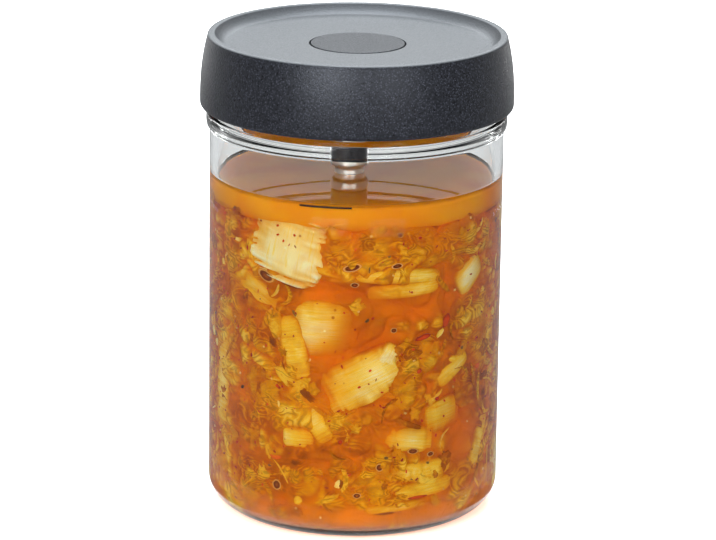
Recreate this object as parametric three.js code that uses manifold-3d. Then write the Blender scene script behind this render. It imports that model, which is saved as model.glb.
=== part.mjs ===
// A one-litre fermentation jar filled with kimchi, with its lid on.
// Millimetres, +Z up. The jar stands on z = 0 and its axis is x = y = 0; the fill line faces -Y.
import * as THREE from 'three';
import { mergeVertices } from 'three/addons/utils/BufferGeometryUtils.js';
import Module from 'manifold-3d';

const wasm = await Module();
wasm.setup();

// Glass jar
const JAR_RADIUS = 54;
const WALL = 3;
const BASE = 4;
const HEEL = 10.5;
const INNER_HEEL = 8;
const BEAD_PROUD = 1.5;
const BEAD_ROUND = 0.5;
const BEAD_BOTTOM = 144;
const BEAD_TOP = 149.4;
const NECK_RADIUS = 52.2;
const MOUTH_HEIGHT = 169.6;
const BORE_RADIUS = 49.2;
const BORE_START = 145.2;
const BORE_END = 150.6;
const INNER_RADIUS = JAR_RADIUS - WALL;

// Lid
const LID_RADIUS = 57.5;
const LID_BOTTOM = 151.3;
const LID_TOP = 178;
const LID_WIDEST = 153;
const LID_RIM_RADIUS = 54.9;
const LID_TAPER = 2.4;
const LID_RIM_BAND = 3.3;
const LID_DISH = 3.8;
const LID_DISH_FILLET = 3.6;
const LID_UNDERSIDE = 170.6;
const SKIRT_BORE = 53;
const SKIRT_CHAMFER = 0.5;
const SKIRT_ROUND = 1.6;
const RIM_ROUND = 1.2;

// Push button in the middle of the lid
const BUTTON_RADIUS = 17.2;
const BUTTON_GAP = 0.5;
const BUTTON_POCKET = 2;
const BUTTON_PROUD = 0.15;
const BUTTON_ROUND = 0.5;

// Stem of the press, hanging from the lid
const STEM_OFFSET = -2.5;
const HOLDER_RADIUS = 6.8;
const FLANGE_RADIUS = 7;
const FLANGE_BOTTOM = 128.7;
const FLANGE_TOP = 132.6;
const STEM_RADIUS = 5.4;
const STEM_END = 121.7;
const STEM_ROUND = 0.8;
const CLEARANCE = 0.35;

// Heap of cabbage in the jar: seeds for the pieces at the sides, the leaves on top and the uneven edges
const HEAP_TOP = 120.8;
const CORE_RADIUS = 46.5;
const CORE_TOP = 115.5;
const CORE_SHOULDER = 7;
const CORE_UNEVEN = 1.4;
const WALL_CLEARANCE = 0.45;
const SLAB_SIDES = 10;
const SIDE_SEED = 41;
const TOP_SEED = 7;
const EDGE_SEED = 23;

const deg = THREE.MathUtils.degToRad;

// Solid of revolution about Z from a path of (radius, height) points.
function turned(path, segments, arcSteps) {
  const points = [];
  for (const p of path.getPoints(arcSteps)) {
    const last = points[points.length - 1];
    if (!last || last.distanceTo(p) > 1e-6) points.push(p);
  }
  return new THREE.LatheGeometry(points, segments).rotateX(Math.PI / 2);
}

// The jar: flat foot, round heel, straight wall, a bead under the lid and a narrower neck.
function glassGeometry() {
  const beadMiddle = (BEAD_BOTTOM + BEAD_TOP) / 2;
  const beadRadius = JAR_RADIUS + BEAD_PROUD;
  const beadTurn = beadRadius - BEAD_ROUND;
  const lip = (NECK_RADIUS - BORE_RADIUS) / 2;
  const innerFoot = INNER_RADIUS - INNER_HEEL;
  const path = new THREE.Path();
  path.moveTo(0, 0);
  path.lineTo(JAR_RADIUS - HEEL, 0);
  path.absarc(JAR_RADIUS - HEEL, HEEL, HEEL, -Math.PI / 2, 0, false);
  path.lineTo(JAR_RADIUS, BEAD_BOTTOM - 2 * BEAD_ROUND);
  path.quadraticCurveTo(JAR_RADIUS, BEAD_BOTTOM, beadTurn, BEAD_BOTTOM + BEAD_ROUND);
  path.quadraticCurveTo(beadRadius, beadMiddle, beadTurn, BEAD_TOP - BEAD_ROUND);
  path.quadraticCurveTo(NECK_RADIUS, BEAD_TOP, NECK_RADIUS, BEAD_TOP + 3 * BEAD_ROUND);
  path.lineTo(NECK_RADIUS, MOUTH_HEIGHT - lip);
  path.absarc(NECK_RADIUS - lip, MOUTH_HEIGHT - lip, lip, 0, Math.PI, false);
  path.lineTo(BORE_RADIUS, BORE_END);
  path.quadraticCurveTo(BORE_RADIUS, (BORE_START + BORE_END) / 2, INNER_RADIUS, BORE_START);
  path.lineTo(INNER_RADIUS, BASE + INNER_HEEL);
  path.absarc(innerFoot, BASE + INNER_HEEL, INNER_HEEL, 0, -Math.PI / 2, true);
  path.lineTo(0, BASE);
  return turned(path, 60, 2);
}

// The lid: a tapering skirt over the neck and a dished top with a pocket for the button.
function lidGeometry() {
  const floor = LID_TOP - LID_DISH;
  const dishRadius = LID_RIM_RADIUS - LID_RIM_BAND - LID_DISH_FILLET;
  const pocketRadius = BUTTON_RADIUS + BUTTON_GAP;
  const path = new THREE.Path();
  path.moveTo(0, LID_UNDERSIDE);
  path.lineTo(SKIRT_BORE, LID_UNDERSIDE);
  path.lineTo(SKIRT_BORE, LID_BOTTOM + SKIRT_CHAMFER);
  path.lineTo(SKIRT_BORE + SKIRT_CHAMFER, LID_BOTTOM);
  path.lineTo(LID_RADIUS - SKIRT_ROUND, LID_BOTTOM);
  path.quadraticCurveTo(LID_RADIUS, LID_BOTTOM, LID_RADIUS, LID_WIDEST);
  const sideSteps = 6;
  const sideTop = LID_TOP - RIM_ROUND;
  for (let i = 1; i <= sideSteps; i++) {
    const u = i / sideSteps;
    const drop = (LID_RADIUS - LID_RIM_RADIUS) * u ** LID_TAPER;
    path.lineTo(LID_RADIUS - drop, LID_WIDEST + (sideTop - LID_WIDEST) * u);
  }
  path.quadraticCurveTo(LID_RIM_RADIUS, LID_TOP, LID_RIM_RADIUS - RIM_ROUND, LID_TOP);
  path.lineTo(LID_RIM_RADIUS - LID_RIM_BAND + RIM_ROUND / 2, LID_TOP);
  path.quadraticCurveTo(dishRadius + LID_DISH_FILLET / 2, floor, dishRadius, floor);
  path.lineTo(pocketRadius, floor);
  path.lineTo(pocketRadius, floor - BUTTON_POCKET);
  path.lineTo(0, floor - BUTTON_POCKET);
  return turned(path, 64, 2);
}

// The button: a disc with a softened edge, level with the floor of the dish.
function buttonGeometry() {
  const floor = LID_TOP - LID_DISH;
  const bottom = floor - BUTTON_POCKET + CLEARANCE;
  const top = floor + BUTTON_PROUD;
  const path = new THREE.Path();
  path.moveTo(0, bottom);
  path.lineTo(BUTTON_RADIUS, bottom);
  path.lineTo(BUTTON_RADIUS, top - BUTTON_ROUND);
  path.quadraticCurveTo(BUTTON_RADIUS, top, BUTTON_RADIUS - BUTTON_ROUND, top);
  path.lineTo(0, top);
  return turned(path, 48, 2);
}

// The dark holder between the lid and the steel flange.
function holderGeometry() {
  const bottom = FLANGE_TOP + CLEARANCE;
  const top = LID_UNDERSIDE - CLEARANCE;
  const path = new THREE.Path();
  path.moveTo(0, bottom);
  path.lineTo(HOLDER_RADIUS - STEM_ROUND, bottom);
  path.lineTo(HOLDER_RADIUS, bottom + STEM_ROUND);
  path.lineTo(HOLDER_RADIUS, top);
  path.lineTo(0, top);
  return turned(path, 28, 2);
}

// The steel stem with its rounded flange.
function stemGeometry() {
  const path = new THREE.Path();
  path.moveTo(0, STEM_END);
  path.lineTo(STEM_RADIUS - STEM_ROUND, STEM_END);
  path.quadraticCurveTo(STEM_RADIUS, STEM_END, STEM_RADIUS, STEM_END + STEM_ROUND);
  path.lineTo(STEM_RADIUS, FLANGE_BOTTOM);
  path.quadraticCurveTo(FLANGE_RADIUS, FLANGE_BOTTOM, FLANGE_RADIUS, FLANGE_BOTTOM + 2 * STEM_ROUND);
  path.lineTo(FLANGE_RADIUS, FLANGE_TOP - STEM_ROUND);
  path.quadraticCurveTo(FLANGE_RADIUS, FLANGE_TOP, FLANGE_RADIUS - STEM_ROUND, FLANGE_TOP);
  path.lineTo(0, FLANGE_TOP);
  return turned(path, 28, 2);
}

// Repeatable random numbers between 0 and 1.
function randomFrom(seed) {
  let state = seed;
  return () => {
    state = (state * 16807) % 2147483647;
    return state / 2147483647;
  };
}

// Radius of the jar's inside at a height, less the gap that the heap keeps to it.
function heapLimit(z) {
  const up = Math.max(0, BASE + INNER_HEEL - z);
  const drop = INNER_HEEL - Math.sqrt(Math.max(0, INNER_HEEL ** 2 - up ** 2));
  return INNER_RADIUS - drop - WALL_CLEARANCE;
}

// Turns a closed three.js mesh into a solid for joining.
function toSolid(geometry) {
  const plain = geometry.clone();
  plain.deleteAttribute('normal');
  plain.deleteAttribute('uv');
  const merged = mergeVertices(plain, 1e-5);
  return new wasm.Manifold(new wasm.Mesh({
    numProp: 3,
    vertProperties: new Float32Array(merged.attributes.position.array),
    triVerts: new Uint32Array(merged.index.array),
  }));
}

// Turns a joined solid back into a three.js mesh.
function fromSolid(solid) {
  const mesh = solid.getMesh();
  const geometry = new THREE.BufferGeometry();
  geometry.setAttribute('position', new THREE.BufferAttribute(new Float32Array(mesh.vertProperties), 3));
  geometry.setIndex(new THREE.BufferAttribute(new Uint32Array(mesh.triVerts), 1));
  geometry.computeVertexNormals();
  return geometry;
}

// Core of the heap: an uneven mound a little smaller than the jar's inside.
function coreGeometry() {
  const low = BASE + CLEARANCE;
  const shoulder = CORE_TOP - CORE_SHOULDER;
  const path = new THREE.Path();
  path.moveTo(0, low);
  path.lineTo(CORE_RADIUS - INNER_HEEL, low);
  path.absarc(CORE_RADIUS - INNER_HEEL, low + INNER_HEEL, INNER_HEEL, -Math.PI / 2, 0, false);
  const steps = 8;
  for (let i = 1; i <= steps; i++) {
    path.lineTo(CORE_RADIUS, THREE.MathUtils.lerp(low + INNER_HEEL, shoulder, i / steps));
  }
  path.quadraticCurveTo(CORE_RADIUS, CORE_TOP, CORE_RADIUS - CORE_SHOULDER, CORE_TOP);
  path.lineTo(CORE_RADIUS / 2, CORE_TOP);
  path.lineTo(0, CORE_TOP);
  const geometry = turned(path, 30, 1);
  const position = geometry.attributes.position;
  const p = new THREE.Vector3();
  for (let i = 0; i < position.count; i++) {
    p.fromBufferAttribute(position, i);
    const angle = Math.atan2(p.y, p.x);
    const swell = 0.8 * Math.sin(3 * angle + p.z / 9) + 0.6 * Math.sin(7 * angle - p.z / 13);
    const onTop = p.z > CORE_TOP - CLEARANCE && Math.hypot(p.x, p.y) > 1;
    const lift = onTop ? CORE_UNEVEN * Math.sin(4 * angle) : 0;
    const scale = 1 + swell / CORE_RADIUS;
    position.setXYZ(i, p.x * scale, p.y * scale, p.z + lift);
  }
  return geometry;
}

// A piece of cabbage as a closed slab. Its outline is a blunt oval with an uneven edge, its two faces
// are split alike, and place(u, v, depth) sets each point of it in the heap.
function slabGeometry(piece, random, place) {
  const rings = [0.55, 1];
  const front = [place(0, 0, 0)];
  const back = [place(0, 0, piece.thick)];
  const edge = [];
  for (let s = 0; s < SLAB_SIDES; s++) edge.push(1 - piece.ragged * random());
  const phase = random() * 2 * Math.PI;
  for (const ring of rings) {
    for (let s = 0; s < SLAB_SIDES; s++) {
      const t = 2 * Math.PI * s / SLAB_SIDES;
      const reach = ring * edge[s];
      const u = reach * Math.sign(Math.cos(t)) * Math.abs(Math.cos(t)) ** piece.corner * piece.wide / 2;
      const v = reach * Math.sign(Math.sin(t)) * Math.abs(Math.sin(t)) ** piece.corner * piece.tall / 2;
      const wave = piece.wave * Math.sin(piece.folds * t + phase) * ring;
      const sink = piece.dome * ring ** 3 + wave;
      const turn = deg(piece.turn);
      const across = u * Math.cos(turn) - v * Math.sin(turn);
      const along = u * Math.sin(turn) + v * Math.cos(turn);
      front.push(place(across, along, sink));
      back.push(place(across, along, sink + piece.thick));
    }
  }
  const positions = [...front, ...back].flat();
  const index = [];
  const count = front.length;
  const ringAt = (ring, s) => 1 + ring * SLAB_SIDES + (s % SLAB_SIDES);
  const both = (a, b, c) => index.push(a, b, c, count + a, count + c, count + b);
  for (let s = 0; s < SLAB_SIDES; s++) {
    both(0, ringAt(0, s), ringAt(0, s + 1));
    both(ringAt(0, s), ringAt(1, s), ringAt(1, s + 1));
    both(ringAt(0, s), ringAt(1, s + 1), ringAt(0, s + 1));
    const a = ringAt(1, s);
    const b = ringAt(1, s + 1);
    index.push(a, count + a, count + b, a, count + b, b);
  }
  const geometry = new THREE.BufferGeometry();
  geometry.setAttribute('position', new THREE.BufferAttribute(new Float32Array(positions), 3));
  geometry.setIndex(index);
  return geometry;
}

// Sets a slab against the wall, at an angle from -Y towards +X and a height.
function onWall(piece) {
  return (across, along, depth) => {
    const z = THREE.MathUtils.clamp(piece.z + along, BASE + 1.2, HEAP_TOP);
    const radius = heapLimit(z) - piece.inset - Math.max(0, depth);
    const angle = deg(piece.at) + across / INNER_RADIUS;
    return [radius * Math.sin(angle), -radius * Math.cos(angle), z];
  };
}

// Lays a slab on top of the heap, at an angle and a distance from the axis.
function onTop(piece) {
  const x = piece.out * Math.sin(deg(piece.at));
  const y = -piece.out * Math.cos(deg(piece.at));
  return (across, along, depth) => [x + across, y + along, HEAP_TOP - piece.inset - Math.max(0, depth)];
}

// Kinds of piece: thick pale rib, crinkled leaf, and narrow shred.
const RIB = { thick: 6, corner: 0.6, ragged: 0.12, wave: 0.3, folds: 2, dome: 1.4, inset: 0 };
const LEAF = { thick: 5, corner: 0.8, ragged: 0.26, wave: 0.8, folds: 4, dome: 0.9, inset: 0.3 };
const SHRED = { thick: 5, corner: 0.5, ragged: 0.1, wave: 0.3, folds: 3, dome: 0.8, inset: 0.1 };

// The larger pieces on the side that faces -Y: degrees round the wall, height, width, length and turn.
const FRONT = [
  { ...RIB, at: -28, z: 108.5, wide: 32, tall: 23, turn: -9 },
  { ...LEAF, at: -6, z: 108.5, wide: 13, tall: 24, turn: 4 },
  { ...LEAF, at: 18, z: 112.5, wide: 37, tall: 16, turn: -3 },
  { ...LEAF, at: 47, z: 110.5, wide: 28, tall: 19, turn: 14 },
  { ...SHRED, at: 19, z: 99.8, wide: 32, tall: 6, turn: -3 },
  { ...SHRED, at: 20, z: 93.8, wide: 30, tall: 6, turn: 2 },
  { ...RIB, at: 63, z: 95.5, wide: 18, tall: 14, turn: 30 },
  { ...SHRED, at: -42, z: 91, wide: 27, tall: 8, turn: -24 },
  { ...RIB, at: -11, z: 79.5, wide: 23, tall: 20, turn: 0 },
  { ...SHRED, at: -25, z: 72, wide: 10, tall: 26, turn: 14 },
  { ...RIB, at: 3, z: 62.5, wide: 31, tall: 20, turn: 27 },
  { ...LEAF, at: 25.5, z: 59.5, wide: 12, tall: 29, turn: -4 },
  { ...SHRED, at: 43, z: 62, wide: 22, tall: 9, turn: 33 },
  { ...RIB, at: 42, z: 44.5, wide: 22, tall: 16, turn: 8 },
  { ...RIB, at: 17, z: 37.5, wide: 24, tall: 12, turn: -6 },
  { ...SHRED, at: 30, z: 27, wide: 26, tall: 8, turn: 4 },
  { ...SHRED, at: 31, z: 18, wide: 26, tall: 7, turn: 3 },
  { ...LEAF, at: 6, z: 20, wide: 27, tall: 19, turn: 0 },
  { ...RIB, at: -25, z: 38.5, wide: 20, tall: 10, turn: 3 },
  { ...LEAF, at: -39, z: 54, wide: 22, tall: 28, turn: 10 },
  { ...SHRED, at: -18, z: 49, wide: 8, tall: 29, turn: 32 },
  { ...SHRED, at: -66, z: 52, wide: 10, tall: 42, turn: -4 },
  { ...LEAF, at: -59, z: 104, wide: 14, tall: 31, turn: 3 },
  { ...LEAF, at: -48, z: 21, wide: 24, tall: 19, turn: -35 },
  { ...SHRED, at: 65, z: 34, wide: 9, tall: 25, turn: -24 },
  { ...LEAF, at: -62, z: 78, wide: 19, tall: 19, turn: 20 },
  { ...LEAF, at: 63, z: 73, wide: 22, tall: 23, turn: -18 },
];

// Rest of the wall: rows of pieces whose kind, size and turn are drawn at random.
function sidePieces(random) {
  const kinds = [RIB, LEAF, LEAF, SHRED];
  const pieces = [];
  for (let row = 0; row < 5; row++) {
    for (let column = 0; column < 5; column++) {
      const kind = kinds[Math.floor(random() * kinds.length)];
      const narrow = kind === SHRED;
      pieces.push({
        ...kind,
        at: 94 + 40 * column + 16 * (row % 2) + 10 * (random() - 0.5),
        z: 17 + 23.5 * row + 4 * (random() - 0.5),
        wide: narrow ? 30 + 8 * random() : 30 + 9 * random(),
        tall: narrow ? 9 + 4 * random() : 21 + 6 * random(),
        turn: (narrow ? 70 : 40) * (random() - 0.5),
      });
    }
  }
  return pieces;
}

// Leaves that lie over the top of the heap, six round the edge and one in the middle.
function topPieces(random) {
  const pieces = [];
  for (let i = 0; i < 7; i++) {
    const middle = i === 6;
    pieces.push({
      ...LEAF,
      inset: middle ? 2.4 : 0.4 + 1.6 * random(),
      at: 60 * i + 20 * random(),
      out: middle ? 4 : 29,
      wide: 26 + 8 * random(),
      tall: 22 + 8 * random(),
      turn: 180 * random(),
    });
  }
  return pieces;
}

// The heap: its core with every showing piece joined to it, as one closed body.
function heapGeometry() {
  const random = randomFrom(EDGE_SEED);
  let heap = toSolid(coreGeometry());
  for (const piece of [...FRONT, ...sidePieces(randomFrom(SIDE_SEED))]) {
    heap = heap.add(toSolid(slabGeometry(piece, random, onWall(piece))));
  }
  for (const piece of topPieces(randomFrom(TOP_SEED))) {
    heap = heap.add(toSolid(slabGeometry(piece, random, onTop(piece))));
  }
  const bodies = heap.decompose();
  bodies.sort((a, b) => b.volume() - a.volume());
  return fromSolid(bodies[0]);
}

function part(name, geometry, material) {
  const mesh = new THREE.Mesh(geometry, material);
  mesh.name = name;
  return mesh;
}

const clearGlass = new THREE.MeshStandardMaterial({ color: 0xe4ebe8, roughness: 0.05, metalness: 0 });
const lidPlastic = new THREE.MeshStandardMaterial({ color: 0x3c3d43, roughness: 0.55, metalness: 0 });
const buttonPlastic = new THREE.MeshStandardMaterial({ color: 0x46484e, roughness: 0.6, metalness: 0 });
const holderPlastic = new THREE.MeshStandardMaterial({ color: 0x26262a, roughness: 0.5, metalness: 0 });
const stemSteel = new THREE.MeshStandardMaterial({ color: 0xb9bcc0, roughness: 0.3, metalness: 1 });
const cabbage = new THREE.MeshStandardMaterial({ color: 0xd98a26, roughness: 0.5, metalness: 0 });

const jar = new THREE.Group();
jar.add(part('jar_glass', glassGeometry(), clearGlass));
jar.add(part('kimchi', heapGeometry(), cabbage));

const lidParts = new THREE.Group();
lidParts.add(part('lid', lidGeometry(), lidPlastic));
lidParts.add(part('lid_button', buttonGeometry(), buttonPlastic));
const holder = part('press_holder', holderGeometry(), holderPlastic);
holder.position.x = STEM_OFFSET;
const stem = part('press_stem', stemGeometry(), stemSteel);
stem.position.x = STEM_OFFSET;
lidParts.add(holder, stem);
jar.add(lidParts);

export default jar;
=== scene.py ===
# %% [markdown]
# # A jar of kimchi
# A clear glass jar stands full of cabbage in orange brine, with a dark lid on top. This lesson builds the
# looks round a fixed model of the jar. First come the measures: every length is in millimetres, and one
# factor turns them into Blender's metres.

# %% The fixed model and the measures
import bpy
import numpy as np
from mathutils import Matrix, Vector


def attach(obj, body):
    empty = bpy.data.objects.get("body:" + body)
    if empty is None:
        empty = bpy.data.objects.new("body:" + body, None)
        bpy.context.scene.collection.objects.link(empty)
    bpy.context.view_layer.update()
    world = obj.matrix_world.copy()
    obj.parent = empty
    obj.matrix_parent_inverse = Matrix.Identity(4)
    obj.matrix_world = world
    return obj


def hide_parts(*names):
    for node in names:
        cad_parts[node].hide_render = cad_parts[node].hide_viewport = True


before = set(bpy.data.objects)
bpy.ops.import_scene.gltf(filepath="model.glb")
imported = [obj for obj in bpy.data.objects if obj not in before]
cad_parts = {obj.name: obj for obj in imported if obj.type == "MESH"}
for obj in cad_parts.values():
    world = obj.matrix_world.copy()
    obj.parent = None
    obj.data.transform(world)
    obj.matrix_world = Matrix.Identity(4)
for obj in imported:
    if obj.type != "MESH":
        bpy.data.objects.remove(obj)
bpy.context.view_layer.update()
MM = 0.001

JAR_RADIUS = 54.0
WALL = 3.0
BASE = 4.0
HEEL = 10.5
INNER_HEEL = 8.0
BORE = JAR_RADIUS - WALL
BRINE_LEVEL = 126.4
HEAP_TOP = 120.8
print("nodes:", sorted(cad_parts))

# %% [markdown]
# ## Camera
# The jar was photographed from a little above, from far away with a long lens, so its sides look almost
# parallel. The camera's place is worked out from a distance and a tilt, and its matrix from three
# directions, because the whole picture also leans by less than a degree.

# %% Camera
VIEW_DISTANCE = 1400.0
VIEW_TILT = np.radians(16.02)
VIEW_PAN = np.radians(0.048)
VIEW_LEAN = np.radians(-0.758)
AIM_HEIGHT = 88.14
LENS = 189.9


def unit(v):
    """A vector divided by its own length."""
    return v / np.linalg.norm(v)


def place_camera():
    """Eye = aim point + distance away along the tilt. Right = forward x up, then turned by the lean."""
    eye = np.array([0, -VIEW_DISTANCE * np.cos(VIEW_TILT), AIM_HEIGHT + VIEW_DISTANCE * np.sin(VIEW_TILT)])
    forward = unit(np.array([np.sin(VIEW_PAN), np.cos(VIEW_TILT), -np.sin(VIEW_TILT)]))
    level = unit(np.cross(forward, [0, 0, 1]))
    upright = np.cross(level, forward)
    right = np.cos(VIEW_LEAN) * level - np.sin(VIEW_LEAN) * upright
    up = np.sin(VIEW_LEAN) * level + np.cos(VIEW_LEAN) * upright
    camera = bpy.data.objects.new("camera", bpy.data.cameras.new("camera"))
    camera.data.lens = LENS
    camera.data.clip_end = 10
    turn = np.column_stack([right, up, -forward])
    camera.matrix_world = Matrix.Translation(Vector(eye * MM)) @ Matrix(turn.tolist()).to_4x4()
    bpy.context.scene.collection.objects.link(camera)
    bpy.context.scene.camera = camera
    return eye


print("camera at", place_camera().round(1), "mm")

# %% [markdown]
# ## One way to make every surface
# The lid, the glass and each scrap of cabbage are closed skins. Each is a stack of rings of points with
# one point at either end, like the lines of latitude on a globe and its poles. The function below joins
# many such skins into one mesh at once, so that a few thousand flakes cost no more code than one lid.

# %% Closed skins from rings of points
def skins(rings, start, end):
    """Corner numbers: ring i, point j of skin k is k*(n*m + 2) + i*m + j, and the two poles come last.
    Neighbouring rings are joined by quads, and each pole by a fan of triangles."""
    count, n, m = rings.shape[:3]
    points = np.concatenate([rings.reshape(count, n * m, 3), start[:, None], end[:, None]], axis=1)
    i, j = np.meshgrid(np.arange(n - 1), np.arange(m), indexing="ij")
    a, b = i * m + j, i * m + (j + 1) % m
    quads = np.stack([a, b, b + m, a + m], axis=-1).reshape(-1, 4)
    j = np.arange(m)
    after = (j + 1) % m
    fans = np.concatenate([
        np.stack([after, j, np.full(m, n * m)], axis=-1),
        np.stack([(n - 1) * m + j, (n - 1) * m + after, np.full(m, n * m + 1)], axis=-1),
    ])
    step = np.arange(count)[:, None, None] * (n * m + 2)
    quads, fans = (quads + step).reshape(-1, 4), (fans + step).reshape(-1, 3)
    points = points.reshape(-1, 3)
    if volume(points, quads, fans) < 0:
        quads, fans = quads[:, ::-1], fans[:, ::-1]
    return points, quads, fans


def volume(points, quads, fans):
    """One sixth of the sum over triangles of a . (b x c): positive when the faces point outwards."""
    triangles = np.concatenate([fans, quads[:, :3], quads[:, [0, 2, 3]]])
    a, b, c = (points[triangles[:, k]] for k in range(3))
    return np.einsum("ij,ij->i", a, np.cross(b, c)).sum() / 6


def build(name, shapes, material, stands_for=()):
    """Joins (points, quads, fans, attributes) shapes into one smooth mesh in metres that rides on the jar."""
    points, quads, fans, shift = [], [], [], 0
    for shape in shapes:
        points.append(shape[0])
        quads.append(shape[1] + shift)
        fans.append(shape[2] + shift)
        shift += len(shape[0])
    points, quads, fans = (np.concatenate(part) for part in (points, quads, fans))
    corners = np.concatenate([quads.ravel(), fans.ravel()]).astype(np.int32)
    sizes = np.concatenate([np.full(len(quads), 4), np.full(len(fans), 3)]).astype(np.int32)
    mesh = bpy.data.meshes.new(name)
    mesh.vertices.add(len(points))
    mesh.vertices.foreach_set("co", (points * MM).astype(np.float32).ravel())
    mesh.loops.add(len(corners))
    mesh.loops.foreach_set("vertex_index", corners)
    mesh.polygons.add(len(sizes))
    mesh.polygons.foreach_set("loop_start", np.concatenate([[0], np.cumsum(sizes)[:-1]]).astype(np.int32))
    mesh.polygons.foreach_set("use_smooth", np.ones(len(sizes), bool))
    mesh.update(calc_edges=True)
    for key in shapes[0][3] if len(shapes[0]) > 3 else ():
        values = np.concatenate([shape[3][key] for shape in shapes]).astype(np.float32)
        if key == "local":
            mesh.uv_layers.new(name=key).data.foreach_set("uv", values[corners].ravel())
        else:
            mesh.attributes.new(key, "FLOAT", "POINT").data.foreach_set("value", values)
    mesh.materials.append(material)
    piece = bpy.data.objects.new(name, mesh)
    bpy.context.scene.collection.objects.link(piece)
    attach(piece, "root")
    if stands_for:
        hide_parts(*stands_for)
    print(f"{name}: {len(quads) * 2 + len(fans)} triangles")


# %% [markdown]
# ## Profiles
# What was moulded or turned is drawn as half of its outline, as radius and height. Straight runs, arcs and
# soft corners are enough. A corner gets its own small bend, so that smooth shading stays true beside it.

# %% Parts of a profile
def straight(start, end, count):
    """Points start + t (end - start), with t from 0 to 1."""
    t = np.linspace(0, 1, count)[:, None]
    return np.array(start) + t * (np.array(end) - np.array(start))


def arc(centre, radius, start, end, count):
    """Points centre + radius (cos a, sin a), with a from start to end in degrees."""
    a = np.radians(np.linspace(start, end, count))
    return np.column_stack([centre[0] + radius * np.cos(a), centre[1] + radius * np.sin(a)])


def soft(start, corner, end, count=9):
    """Points (1-t)^2 start + 2t(1-t) corner + t^2 end: a bend pulled towards its corner."""
    t = np.linspace(0, 1, count)[:, None]
    return (1 - t) ** 2 * np.array(start) + 2 * t * (1 - t) * np.array(corner) + t ** 2 * np.array(end)


def turned(profile, segments=240, offset=(0, 0)):
    """Point (i, j) is profile point i at angle j: x = r cos a, y = r sin a, z = height. Ends are poles."""
    profile = np.concatenate(profile)
    keep = np.concatenate([[True], np.linalg.norm(np.diff(profile, axis=0), axis=1) > 1e-6])
    profile = profile[keep]
    a = np.linspace(0, 2 * np.pi, segments, endpoint=False)
    r, z = profile[1:-1, :1], profile[1:-1, 1:]
    rings = np.stack([offset[0] + r * np.cos(a), offset[1] + r * np.sin(a), z + 0 * a], axis=-1)
    poles = [np.array([[offset[0], offset[1], profile[k, 1]]]) for k in (0, -1)]
    return skins(rings[None], *poles)


# %% [markdown]
# ## Shader parts
# Several finishes share the same effects, so each effect is a node group with named sockets. A small
# helper writes the nodes: it makes a node, sets its values and joins its inputs in one call. Short names
# for the kinds of node that come back again and again keep each recipe readable.

# %% Helpers for node trees
def linear(red, green, blue):
    """A colour as seen on screen, 0 to 255, turned into the linear values that a shader mixes."""
    c = np.array([red, green, blue]) / 255
    c = np.where(c <= 0.04045, c / 12.92, ((c + 0.055) / 1.055) ** 2.4)
    return (*c.tolist(), 1.0)


def node(tree, kind, inputs=None, **values):
    """Makes one node. inputs holds plain values, or sockets that are then linked."""
    made = tree.nodes.new(kind)
    for key, value in values.items():
        setattr(made, key, value)
    for key, value in (inputs or {}).items():
        if isinstance(value, bpy.types.NodeSocket):
            tree.links.new(value, made.inputs[key])
        else:
            made.inputs[key].default_value = value
    return made


def ramp(tree, factor, stops):
    """A colour ramp through (place, colour) stops."""
    made = node(tree, "ShaderNodeValToRGB", {"Fac": factor})
    elements = made.color_ramp.elements
    while len(elements) > 1:
        elements.remove(elements[-1])
    elements[0].position, elements[0].color = stops[0]
    for place, colour in stops[1:]:
        elements.new(place).color = colour
    return made.outputs["Color"]


def new_group(name, inputs, outputs):
    """An empty node group. inputs holds each socket's own value, a number or a colour, and outputs the
    kind of each socket, Float or Color."""
    tree = bpy.data.node_groups.new(name, "ShaderNodeTree")
    for label, value in inputs.items():
        kind = "Float" if isinstance(value, float) else "Color"
        socket = tree.interface.new_socket(label, in_out="INPUT", socket_type=f"NodeSocket{kind}")
        socket.default_value = value
    for label, kind in outputs.items():
        tree.interface.new_socket(label, in_out="OUTPUT", socket_type=f"NodeSocket{kind}")
    return tree, tree.nodes.new("NodeGroupInput"), tree.nodes.new("NodeGroupOutput")


def new_material(name, **values):
    """A material with its Principled shader, whose sockets are set by name."""
    material = bpy.data.materials.new(name)
    material.use_nodes = True
    shader = material.node_tree.nodes["Principled BSDF"]
    for key, value in values.items():
        shader.inputs[key.replace("_", " ")].default_value = value
    return material, material.node_tree, shader


def math(tree, operation, a, b=0.0, c=0.0):
    """One Math node of three inputs."""
    return node(tree, "ShaderNodeMath", {0: a, 1: b, 2: c}, operation=operation).outputs[0]


def remap(tree, value, low, high, start, end, curve="LINEAR"):
    """Stretches low to high over start to end. Beyond them the ends hold."""
    places = {0: value, 1: low, 2: high, 3: start, 4: end}
    return node(tree, "ShaderNodeMapRange", places, interpolation_type=curve).outputs[0]


def blend(tree, factor, a, b, how="MIX"):
    """Two colours mixed by a factor, or multiplied."""
    colours = {"Factor": factor, "A": a, "B": b}
    return node(tree, "ShaderNodeMix", colours, data_type="RGBA", blend_type=how).outputs["Result"]


def object_place(tree):
    """Where each point lies on its object, in metres."""
    return node(tree, "ShaderNodeTexCoord").outputs["Object"]


def noise(tree, place, scale, detail, roughness=0.5, distortion=0.0):
    """Smooth random values between 0 and 1. Scale is about the number of lumps in a metre."""
    return node(tree, "ShaderNodeTexNoise", {"Vector": place, "Scale": scale, "Detail": detail,
                                             "Roughness": roughness, "Distortion": distortion}).outputs["Fac"]


def carried(tree, name):
    """A number that the mesh carries at each of its points."""
    return node(tree, "ShaderNodeAttribute", attribute_name=name).outputs["Fac"]


def join(tree, target, **sockets):
    """Links sockets to the inputs of those names."""
    for label, socket in sockets.items():
        tree.links.new(socket, target.inputs[label.replace("_", " ")])


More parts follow.
